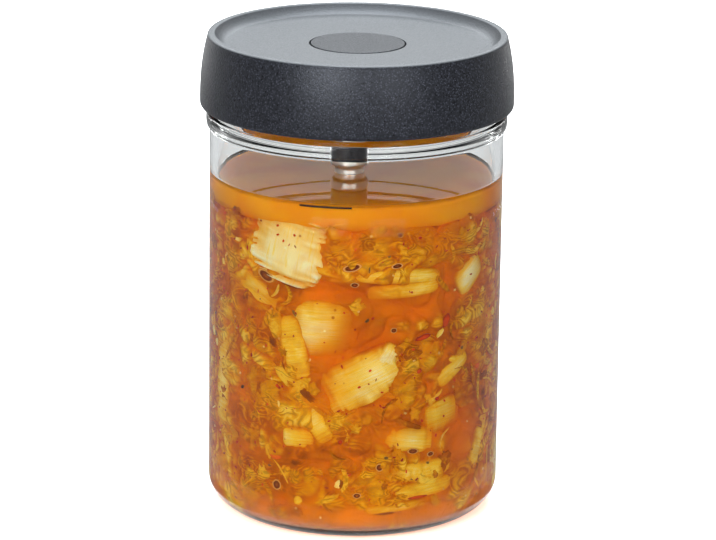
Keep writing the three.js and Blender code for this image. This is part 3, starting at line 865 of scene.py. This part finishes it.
def slab(piece, seed, rows, columns):
    """u, v = reach * edge * blunt oval; depth = inset + dome reach^4 + sinking + folds, + thick behind."""
    a, edge = outline(columns, piece["ragged"], seed)
    over = np.radians(np.linspace(0, 180, EDGE_ROWS))
    face = np.linspace(0.05, FACE_REACH, rows)
    reach = np.concatenate([face, FACE_REACH + EDGE_BULGE * np.sin(over), BACK_REACH])[:, None]
    side = np.concatenate([0 * face, 0.5 - 0.5 * np.cos(over), np.ones(len(BACK_REACH))])[:, None]
    blunt = np.stack([np.sign(f) * np.abs(f) ** piece["corner"] for f in (np.cos(a), np.sin(a))])
    share = reach * edge * blunt[:, None, :]
    u, v = share[0] * piece["wide"] / 2, share[1] * piece["tall"] / 2
    toward, amount = piece.get("sinks", (0, 0.0))
    lean = share[0] * np.cos(np.radians(toward)) + share[1] * np.sin(np.radians(toward))
    sunk = np.clip(0.5 + 0.5 * lean, 0, 1)
    own = np.stack([u, v, 0 * u + 13.7 * seed], axis=-1)
    if piece["kind"] == "leaf":
        bent = warped(own, 9, 3, seed + 20)
        fold = 0.55 * creases(bent, 6, 3, seed) + 0.55 * frills(bent, 8, 3, seed + 5) ** 2 * cloud(own, 7, seed + 6)
    else:
        fold = 0.6 * cloud(own * (0.25, 1, 1), 2.4, seed) + 0.4 * cloud(own, 5, seed + 3)
        fray = cloud(own * (1, 0.12, 1), 0.9, seed + 11) - 0.4
        fold = fold + piece.get("fray", 0) * fray * reach ** 3
    relief = RELIEF[piece["kind"]] * fold * (1 - side)
    depth = piece["inset"] + piece["dome"] * reach ** 4 + amount * sunk ** 1.6 + relief + piece["thick"] * side
    turn = np.radians(piece["turn"])
    across = u * np.cos(turn) - v * np.sin(turn)
    along = u * np.sin(turn) + v * np.cos(turn)
    height = np.clip(piece["z"] + along, LOWEST, HEAP_TOP)
    rings = on_wall(np.radians(piece["at"]) + across / BORE, height, depth)
    middle = np.array([np.radians(piece["at"])])
    ends = [on_wall(middle, np.array([float(piece["z"])]), np.array([d]))
            for d in (depth[0].mean(), piece["inset"] + amount + piece["thick"])]
    # Leaves are painted darker where their folds sink in: painted shade in the hollows.
    tone = {"rib": 0.95 - 0.45 * reach ** 4 - 0.3 * sunk ** 2, "leaf": 0.72 - 0.5 * fold,
            "shred": 0.8 - 0.35 * reach ** 3}[piece["kind"]]
    pale = np.clip(tone + piece.get("tone", 0) + 0.4 * (cloud(own, 6, seed + 7) - 0.5) + 0 * u, 0, 1)
    return (*skins(rings[None], *ends), {
        "depth": np.append(depth.ravel(), [0.2, 5.0]),
        "pale": np.append(pale.ravel(), [pale[0].mean(), 0.0]),
        "local": np.concatenate([np.stack([u, v], axis=-1).reshape(-1, 2), np.zeros((2, 2))]),
    })


# %% [markdown]
# ## Small pieces by name
# Some smaller pieces give the front its pattern: the ruffled edge of a leaf, a thin sliver and the tip of
# a rib. They are the same slabs with fewer points, and more of them fill the gaps at the sides and back.

# %% Smaller pieces on the front
SMALL = [
    lay(LEAF, -26, 64, 8, 24, -14),
    lay(LEAF, -14, 48, 22, 8, -24),
    lay(LEAF, 3, 47, 22, 9, 12),
    lay(SHRED, -33, 51.4, 14, 2.4, -48, tone=0.3),
    lay(RIB, 13.5, 68.5, 15, 9, 64, sinks=(200, 1.6), ragged=0.3, fray=4),
    lay(RIB, -55, 107, 5, 6, 0),
    lay(LEAF, -44, 36, 15, 12, 12),
    lay(LEAF, -36, 44, 17, 7, -10),
    lay(LEAF, 47, 82, 9, 15, -28, tone=-0.25),
    lay(LEAF, 33, 68, 15, 10, 40),
    lay(LEAF, 52, 52, 13, 15, 10, tone=-0.1),
    lay(LEAF, 1, 104, 15, 11, 25),
    lay(LEAF, 32, 105, 26, 8, 8, tone=-0.1),
    lay(LEAF, 12, 30, 17, 9, 5),
    lay(LEAF, -4, 29, 12, 8, -12),
    lay(LEAF, -20, 24, 16, 9, 8),
    lay(LEAF, -33, 78, 11, 18, 24),
    lay(LEAF, -52, 10.5, 20, 10, -22),
    lay(LEAF, -30, 8.5, 18, 6, 6, tone=-0.2),
    lay(LEAF, 52, 10.5, 20, 9, 18),
    lay(LEAF, -72, 14, 18, 13, 30),
    lay(LEAF, 74, 14, 18, 12, -24),
    lay(SHRED, 19, 12.5, 26, 4, 3, tone=-0.2, sinks=(0, 1.5)),
]


def small_side_pieces():
    """Four rows of eight small leaf pieces round the sides and back, in the gaps of the large ones."""
    draw, pieces = draws(77), []
    for row in range(4):
        for column in range(8):
            at = 84 + 26 * column + 11 * (row % 2) + 10 * (next(draw) - 0.5)
            z = 27 + 24 * row + 8 * (next(draw) - 0.5)
            wide, tall = 12 + 8 * next(draw), 7 + 5 * next(draw)
            pieces.append(lay(LEAF, at, z, wide, tall, 120 * (next(draw) - 0.5)))
    return pieces


for size, chosen, start, rows, columns in (("large", PIECES, 0, 26, 88),
                                           ("small", SMALL + small_side_pieces(), len(PIECES), 18, 56)):
    for kind, material in (("rib", rib), ("leaf", leaf), ("shred", shred)):
        shapes = [slab(piece, 50 + 11 * k, rows, columns)
                  for k, piece in enumerate(chosen, start) if piece["kind"] == kind]
        build(f"{size}_{kind}_pieces", shapes, material)

# %% [markdown]
# ## Scraps, slivers, flakes and seeds
# Between the large pieces lie hundreds of scraps. All of one sort are made in a single array: the first
# axis counts the pieces, the other two run over each little globe. Most keep clear of the pale ribs and
# the pools, and all of them of the air pockets, which are listed here and made below.

# %% Scattered places
CHIP_CORNER = 0.8
POCKETS = [(-38, 97.3, 9, 4.5, -24), (-1, 103.7, 8.4, 3.2, 12), (0, 97.3, 3.7, 2.2, 0),
           (18, 115.4, 2.8, 2.4, 10), (17, 104, 5.1, 2.2, 8), (16, 80, 3, 2.3, 0), (25, 33.5, 5.1, 2.6, -4),
           (33, 31.5, 3.2, 2.3, 0), (2, 17.7, 3.6, 2.6, 0), (11, 28.4, 3.2, 3.4, 20), (-32, 19, 4.4, 4.6, 0),
           (110, 66, 7, 3, 15), (152, 92, 4, 2.6, 0), (176, 46, 5, 3, 40), (214, 78, 6, 3, -20),
           (238, 52, 3, 2.6, 0), (276, 74, 5, 3, 30)]


def scattered(count, seed, avoid):
    """Random angles and heights on the wall, clear of the air pockets and of what avoid names."""
    rng = np.random.default_rng(seed)
    angle = rng.uniform(-np.pi, np.pi, count)
    height = rng.uniform(BASE + 4, HEAP_TOP - 1.5, count)
    keep = np.ones(count, bool)
    for pool in POOLS if "pools" in avoid else ():
        keep &= nearness(angle, height, pool, 0.9) < 0.4
    for piece in PIECES if "ribs" in avoid else ():
        if piece["kind"] == "rib":
            keep &= nearness(angle, height, piece, 0.95) < 0.4
    for at, z, wide, tall, turn in POCKETS:
        keep &= nearness(angle, height, lay({}, at, z, wide + 5, tall + 4, turn)) < 0.4
    return angle[keep], height[keep], rng


def chips(angle, height, rng, rows, columns, wide, tall, thick, inset, ragged, bend=0.0):
    """Each chip: u, v = reach * uneven oval, v + bend u^2 / width, turned at random, bent round the wall."""
    count = len(angle)
    a = np.linspace(0, 2 * np.pi, columns, endpoint=False)
    over = np.radians(np.linspace(20, 180, 4))
    reach = np.concatenate([np.linspace(0.25, 0.9, rows), 0.92 + 0.08 * np.sin(over), [0.4]])[:, None]
    side = np.concatenate([np.zeros(rows), 0.5 - 0.5 * np.cos(over), [1.0]])[:, None]
    edge = 1 - ragged * rng.random((count, 1, columns))
    width = rng.uniform(*wide, (count, 1, 1))
    length = rng.uniform(*tall, (count, 1, 1))
    blunt = np.stack([np.sign(f) * np.abs(f) ** CHIP_CORNER for f in (np.cos(a), np.sin(a))])
    u = reach * edge * blunt[0] * width / 2
    v = reach * edge * blunt[1] * length / 2
    v = v + rng.uniform(-bend, bend, (count, 1, 1)) * u ** 2 / width
    turn = rng.uniform(0, np.pi, (count, 1, 1))
    tilt = rng.uniform(-0.12, 0.12, (count, 1, 1))
    start = rng.uniform(*inset, (count, 1, 1))
    depth = start + 0.35 * thick * reach ** 2 + tilt * u + thick * side + 0 * u
    across = u * np.cos(turn) - v * np.sin(turn)
    along = u * np.sin(turn) + v * np.cos(turn)
    z = np.clip(height[:, None, None] + along, LOWEST, HEAP_TOP)
    depth = np.maximum(depth, 0.04)
    rings = on_wall(angle[:, None, None] + across / BORE, z, depth)
    middle = height.clip(LOWEST, HEAP_TOP)
    ends = [on_wall(angle, middle, d) for d in (depth[:, 0].mean(axis=1), depth[:, -1].mean(axis=1))]
    tone = rng.random((count, 1, 1)) * 0.8 + 0.15 - 0.3 * reach ** 3 * side + 0 * u
    local = np.stack([u, v], axis=-1).reshape(count, -1, 2)
    pad = np.zeros((count, 2))
    return (*skins(rings, *ends), {
        "depth": np.concatenate([depth.reshape(count, -1), pad + 0.3], axis=1).ravel(),
        "pale": np.concatenate([tone.reshape(count, -1), pad + 0.5], axis=1).ravel(),
        "local": np.concatenate([local, np.zeros((count, 2, 2))], axis=1).reshape(-1, 2),
    })


# %% Scraps, strands and slivers
def scatter(name, finish, count, seed, avoid, *form):
    """One mesh of chips at random places. The form is the rings and the points round each chip, then the
    range of widths and heights, the thickness, the range of insets, how ragged it is and its bend."""
    build(name, [chips(*scattered(count, seed, avoid), *form)], finish)


BOTH = ("pools", "ribs")
scatter("leaf_scraps", leaf, 330, 5, BOTH, 6, 20, (4, 12), (3, 8), 1.2, (0.1, 1.2), 0.5)
scatter("leaf_strands", leaf, 170, 57, BOTH, 4, 18, (8, 17), (1.1, 2.6), 1.0, (0.2, 1.1), 0.25, 2.2)
scatter("rib_scraps", rib, 60, 9, BOTH, 5, 14, (3, 7), (2, 4.5), 1.2, (0.3, 1.2), 0.3)
scatter("slivers", shred, 90, 12, BOTH, 4, 16, (5, 13), (0.6, 1.4), 0.6, (0.25, 1.1), 0.2, 1.6)

# %% Chili flakes, seeds and herb bits
def stained(name, stops, scale, detail, uneven, roughness, gloss):
    """Paleness + uneven x noise picks a colour from the stops, and the brine stains it by depth."""
    material, tree, shader = new_material(name, Roughness=roughness, Specular_IOR_Level=gloss)
    grain = math(tree, "SUBTRACT", noise(tree, object_place(tree), scale, detail), 0.5)
    own = ramp(tree, math(tree, "MULTIPLY_ADD", grain, uneven, carried(tree, "pale")), stops)
    stain = node(tree, "ShaderNodeGroup", {"Color": own, "Reach": 2.2}, node_tree=STAIN)
    join(tree, shader, Base_Color=stain.outputs["Color"])
    return material


def flake_finish(name, *stops):
    """Two shades, mixed unevenly from flake to flake, with a slight gloss."""
    return stained(name, shades(*stops), 900.0, 2.0, 0.8, 0.35, 0.1)


chili = flake_finish("chili_skin", (0.1, 140, 24, 2), (0.9, 222, 74, 8))
herb = flake_finish("green_herb", (0.1, 62, 38, 8), (0.9, 142, 100, 24))
seed_shell = flake_finish("chili_seed", (0.1, 220, 150, 50), (0.9, 250, 214, 120))
carrot = flake_finish("carrot", (0.1, 214, 78, 8), (0.9, 240, 118, 24))

scatter("chili_flakes", chili, 520, 21, ("pools",), 3, 8, (0.5, 1.9), (0.4, 1.1), 0.25, (0.03, 0.3), 0.4)
scatter("chili_seeds", seed_shell, 90, 27, ("ribs",), 3, 8, (0.7, 1.3), (0.6, 1.0), 0.4, (0.03, 0.3), 0.1)
scatter("herb_bits", herb, 50, 33, BOTH, 3, 9, (0.8, 3.2), (0.6, 1.8), 0.3, (0.04, 0.4), 0.4)

# %% [markdown]
# ## Pockets and dark seams
# Small air pockets are caught between leaf and glass. Each is painted as a dark brown spot with a thin pale
# rim: painted shade inside and a painted reflection at the edge of the air. Where thick pieces part, a dark
# brown sheet in the gap is painted shade in the seam.

# %% Spots at chosen places
SEAMS = [(-35, 73.4, 9, 5, -58), (-29, 64.5, 10, 4, -74), (-19, 54.9, 17, 6, -42), (-24, 28.4, 8, 4.6, 0),
         (-4, 22.4, 7, 6, -60), (13.5, 10.4, 13, 3, 4), (-26, 95, 14, 1.6, -12), (100, 100, 14, 4, 30),
         (140, 62, 12, 4, -40), (186, 76, 16, 5, 20), (228, 96, 12, 4, 60), (268, 60, 12, 4, -30)]


def spots(places, seed, thick, inset, dome, ragged, rows, columns):
    """Slab shapes at (angle, height, width, height, turn), whose paleness is the reach from the middle."""
    shapes = []
    for k, (at, z, wide, tall, turn) in enumerate(places):
        piece = lay(SHRED, at, z, wide, tall, turn, thick=thick, corner=1.0, ragged=ragged, dome=dome, inset=inset)
        points, quads, fans, values = slab(piece, seed + 7 * k, rows, columns)
        share = np.concatenate([np.linspace(0.05, FACE_REACH, rows), np.full(EDGE_ROWS, EDGE_REACH), BACK_REACH])
        reach = np.append(np.repeat(share, columns), [0.0, 0.0])
        shapes.append((points, quads, fans, {**values, "pale": reach}))
    return shapes


def rimmed(name, *stops):
    """Colour by reach from the middle outwards, a little uneven and matt."""
    return stained(name, shades(*stops), 500.0, 3.0, 0.12, 0.4, 0.0)


# Painted shade and a painted reflection: a dark brown ring inside the pocket and a thin pale rim at its edge.
pocket_air = rimmed("pocket", (0, 150, 78, 34), (0.3, 128, 58, 22), (0.5, 92, 34, 12), (0.68, 124, 54, 18),
                    (0.78, 230, 168, 96), (0.88, 234, 180, 106), (0.97, 200, 116, 34))
# Painted shade: the seams are dark brown sheets in the gaps between thick pieces.
seam_shade = rimmed("dark_seam", (0, 128, 60, 10), (0.55, 142, 70, 12), (1, 196, 104, 14))
build("air_pockets", spots(POCKETS, 900, 0.5, 0.03, 0.12, 0.2, 14, 40), pocket_air)
build("dark_seams", spots(SEAMS, 1300, 1.2, 0.12, 2.0, 0.7, 14, 40), seam_shade)

# %% Larger chili and carrot pieces
CHILI = [(29, 76.2, 8, 2.4, 12), (27, 15.6, 10, 1.8, 0), (27.4, 63.5, 3, 2, 40), (-5, 38, 2, 2.2, 0),
         (-33, 57, 5, 2, -30), (40, 81, 4, 7, -30), (36, 52, 2, 1.6, 0), (-48, 106, 1.6, 3, 10),
         (12, 104, 4, 2, 0), (124, 40, 6, 2.4, 20), (168, 70, 7, 2.4, -30), (222, 38, 5, 2.2, 50),
         (256, 102, 6, 2, 10), (196, 24, 6, 2.6, 0)]
CARROT = [(-33, 30.5, 6.5, 5, 4), (60, 60, 4, 3, 0), (132, 54, 7, 5, 10), (208, 88, 6, 5, -15), (262, 46, 6, 4, 20)]
for name, chosen, finish, seed in (("chili_strips", CHILI, chili, 1500), ("carrot_cubes", CARROT, carrot, 1700)):
    shapes = spots(chosen, seed, 0.8, 0.06, 0.4, 0.35, 8, 24)
    for shape in shapes:
        shape[3]["pale"] = 0.75 - 0.6 * shape[3]["pale"] ** 3
    build(name, shapes, finish)

# %% [markdown]
# ## Brine
# The liquid fills every gap up to the fill line and climbs a little where it meets the glass. Its skin
# reaches a tenth of a millimetre into the wall, so that no air shows between them. It is a clear shader
# that bends light like water and swallows blue and green on the way.

# %% Brine
def brine_profile():
    """A tenth of a millimetre into the floor and the wall, and a small upward curve round the surface."""
    over = 0.1
    return [
        straight((0, BASE - over), (BORE - INNER_HEEL - 0.5, BASE - over), 6),
        arc((BORE - INNER_HEEL, BASE + INNER_HEEL), INNER_HEEL + over, -90, 0, 24),
        straight((BORE + over, BASE + INNER_HEEL + 1), (BORE + over, BRINE_LEVEL + 0.6), 8),
        soft((BORE + over - 0.1, BRINE_LEVEL + 0.7), (BORE - 0.4, BRINE_LEVEL), (BORE - 2.5, BRINE_LEVEL), 12),
        straight((BORE - 3, BRINE_LEVEL), (0, BRINE_LEVEL), 12),
    ]


def brine_material():
    """Clear body with the refraction of water. Absorption is density times (1 - colour), per metre."""
    material, tree, _ = new_material(
        "brine", Base_Color=(1, 1, 1, 1), Roughness=0.0, IOR=1.34, Transmission_Weight=1.0,
        Specular_Tint=FAINT_MIRROR)
    absorb = node(tree, "ShaderNodeVolumeAbsorption", {"Color": (0.98, 0.82, 0.1, 1), "Density": 120.0})
    tree.links.new(absorb.outputs[0], tree.nodes["Material Output"].inputs["Volume"])
    return material


build("brine", [turned(brine_profile())], brine_material())

# %% [markdown]
# The liquid is cloudy: above the heap it looks like smooth orange milk. A still body of haze just under
# the surface gives that look, and the tops of the cabbage pieces stand out of its side.

# %% Haze under the surface
def haze_profile():
    """A flat cake from below the heap's top to just under the surface, drawn in at its lower edge."""
    top = BRINE_LEVEL - 0.8
    return [
        straight((0, 116), (46, 116), 4),
        soft((46.5, 116), (49.8, 117), (50.2, 121), 10),
        straight((50.3, 122), (50.4, 124), 3),
        soft((50.4, 124.5), (50.4, top), (48.5, top), 8),
        straight((48, top), (0, top), 8),
    ]


def clouded(name, scale, detail, gloss, *stops):
    """A matt finish whose colour a noise picks from the stops."""
    material, tree, shader = new_material(name, Roughness=0.6, Specular_IOR_Level=gloss)
    join(tree, shader, Base_Color=ramp(tree, noise(tree, object_place(tree), scale, detail), shades(*stops)))
    return material


haze = clouded("brine_haze", 45.0, 3.0, 0.0, (0.35, 240, 136, 14), (0.65, 248, 164, 24))
build("brine_haze", [turned(haze_profile(), 160)], haze)

# %% [markdown]
# ## Fill line
# A thin dark line is printed on the front of the glass at the fill height. It is a strip a few
# hundredths of a millimetre thick that lies on the wall.

# %% Fill line
LINE_FROM, LINE_TO = np.radians(-21.68), np.radians(-1.37)
LINE_HEIGHT = 126.3
LINE_WIDTH = 0.7
INK_UNDER, INK_OVER = JAR_RADIUS + 0.005, JAR_RADIUS + 0.045


def fill_line():
    """A flat rectangle of ink carried round the jar from one angle to the other."""
    a = np.linspace(LINE_FROM, LINE_TO, 24)[:, None]
    r = np.array([INK_UNDER, INK_OVER, INK_OVER, INK_UNDER])
    z = LINE_HEIGHT + np.array([-0.5, -0.5, 0.5, 0.5]) * LINE_WIDTH
    rings = np.stack([r * np.sin(a), -r * np.cos(a), z + 0 * a], axis=-1)
    return skins(rings[None], rings[None, 0].mean(axis=1), rings[None, -1].mean(axis=1))


ink = clouded("line_ink", 1200.0, 2.0, 0.1, (0.35, 14, 7, 5), (0.75, 40, 22, 16))
build("fill_line", [fill_line()], ink)

# %% [markdown]
# ## Stage and light
# The jar stands on a plain white floor in an even white room, as for a product picture. Two soft lamps
# stand low in front. A wide one high behind lays a sheen over the lid's top, and one overhead lights its
# slopes. Photographers also lay dark cards round a glass, because a glass wall mirrors the floor, and
# clear glass vanishes in front of pure white. Here two grey rings do that: one is seen only in mirror
# images and the other only through glass. The room's white is a little darker there too. Two lamps low
# behind light the far side. Light that falls through the brine paints the floor under the jar amber; the
# path tracer leaves such light out, so the floor under the foot glows faintly instead.

# %% Floor and ring cards
FLOOR_HALF = 2.0
FLOOR_HEIGHT = -0.0003
CARD_HEIGHT = 0.001
GLOW_FULL, GLOW_END = 0.0515, 0.0535
RAY_KINDS = {"camera", "diffuse", "glossy", "transmission", "shadow", "volume_scatter"}


def stage_sheet(name, points, faces, material):
    """A flat mesh of the stage, in metres."""
    mesh = bpy.data.meshes.new(name)
    mesh.from_pydata(points, [], faces)
    mesh.materials.append(material)
    sheet = bpy.data.objects.new(name, mesh)
    bpy.context.scene.collection.objects.link(sheet)
    return sheet


def floor_sheet():
    """A square of floor, facing up, a hair under the jar's foot. It glows amber where the distance from the
    middle, sqrt(x^2 + y^2), is less than about the jar's radius. Only sight, direct or through glass, meets
    the glow: it lights nothing."""
    material, tree, shader = new_material(
        "floor_white", Base_Color=(0.88, 0.88, 0.88, 1), Roughness=0.9, Specular_IOR_Level=0.0,
        Emission_Color=linear(226, 146, 96))
    place = node(tree, "ShaderNodeSeparateXYZ", {0: object_place(tree)}).outputs
    square = math(tree, "ADD", math(tree, "POWER", place["X"], 2.0), math(tree, "POWER", place["Y"], 2.0))
    glow = remap(tree, math(tree, "SQRT", square), GLOW_FULL, GLOW_END, 0.9, 0.0)
    path = node(tree, "ShaderNodeLightPath").outputs
    through = math(tree, "GREATER_THAN", path["Transmission Depth"], 0.5)
    straight_on = math(tree, "LESS_THAN", path["Diffuse Depth"], 0.5)
    seen = math(tree, "MULTIPLY", math(tree, "MAXIMUM", path["Is Camera Ray"], through), straight_on)
    join(tree, shader, Emission_Strength=math(tree, "MULTIPLY", glow, seen))
    corners = [(x * FLOOR_HALF, y * FLOOR_HALF, FLOOR_HEIGHT) for x, y in ((-1, -1), (1, -1), (1, 1), (-1, 1))]
    stage_sheet("floor", corners, [(0, 1, 2, 3)], material)


def ring_card(name, seen_by, inner, outer, grey, count=96):
    """A flat ring round the jar: points r (cos a, sin a) for two radii. Only one kind of ray meets it."""
    a = np.linspace(0, 2 * np.pi, count, endpoint=False)
    rings = [np.column_stack([r * np.cos(a), r * np.sin(a), np.full(count, CARD_HEIGHT)]) for r in (inner, outer)]
    k = np.arange(count)
    after = (k + 1) % count
    quads = np.column_stack([k, k + count, after + count, after])
    material, _, _ = new_material(name, Base_Color=(grey, grey, grey, 1), Roughness=0.9)
    card = stage_sheet(name, np.concatenate(rings).tolist(), quads.tolist(), material)
    for kind in RAY_KINDS - {seen_by}:
        setattr(card, f"visible_{kind}", False)


# %% World and lamps
COOL = (0.93, 0.97, 1)


def soft_lamp(name, place, aim, width, height, power, tint=(1, 1, 1)):
    """A rectangular lamp at a place in metres, turned to face a point. The camera doesn't see it."""
    lamp = bpy.data.objects.new(name, bpy.data.lights.new(name, "AREA"))
    lamp.data.shape = "RECTANGLE"
    lamp.data.size = width
    lamp.data.size_y = height
    lamp.data.energy = power
    lamp.data.color = tint
    lamp.location = place
    lamp.visible_camera = False
    lamp.rotation_euler = (Vector(aim) - Vector(place)).to_track_quat("-Z", "Y").to_euler()
    bpy.context.scene.collection.objects.link(lamp)


def white_room(strength, through, mirrored):
    """Even white. Straight sight through glass gets the share through, and a mirror image mirrored."""
    world = bpy.data.worlds.new("room")
    world.use_nodes = True
    tree, background = world.node_tree, world.node_tree.nodes["Background"]
    path = node(tree, "ShaderNodeLightPath").outputs
    straight_on = math(tree, "LESS_THAN", path["Diffuse Depth"], 0.5)
    glass_ray = math(tree, "MULTIPLY", path["Is Transmission Ray"], straight_on)
    only_mirror = math(tree, "SUBTRACT", path["Is Glossy Ray"], path["Is Transmission Ray"])
    mirror_ray = math(tree, "MAXIMUM", math(tree, "MULTIPLY", only_mirror, straight_on), 0.0)
    kept = math(tree, "MULTIPLY_ADD", glass_ray, through - 1, 1.0)
    kept = math(tree, "MULTIPLY_ADD", mirror_ray, mirrored - 1, kept)
    join(tree, background, Strength=math(tree, "MULTIPLY", kept, strength))
    background.inputs["Color"].default_value = (1, 1, 1, 1)
    bpy.context.scene.world = world


floor_sheet()
ring_card("mirror_card", "glossy", 0.0555, 1.3, 0.1)
ring_card("sight_card", "transmission", 0.085, 1.9, 0.22)
white_room(1.0, 0.74, 0.44)
soft_lamp("front_left", (-0.42, -1.1, 0.5), (0, 0, 0.09), 0.6, 0.6, 19)
soft_lamp("front_right", (0.5, -1.05, 0.45), (0, 0, 0.09), 0.6, 0.6, 8)
soft_lamp("high_behind", (0, 1.55, 1.2), (0, 0, 0.17), 2.2, 0.8, 20, COOL)
soft_lamp("overhead", (0, 0.1, 1.25), (0, 0, 0.17), 0.9, 0.9, 31, COOL)
soft_lamp("back_left", (-0.6, 1.0, 0.1), (0, 0, 0.08), 0.5, 0.16, 14)
soft_lamp("back_right", (0.6, 1.0, 0.1), (0, 0, 0.08), 0.5, 0.16, 10)
bpy.data.objects["high_behind"].visible_transmission = False
for name in ("back_left", "back_right"):
    bpy.data.objects[name].visible_glossy = False
bpy.context.scene.view_settings.view_transform = "Standard"
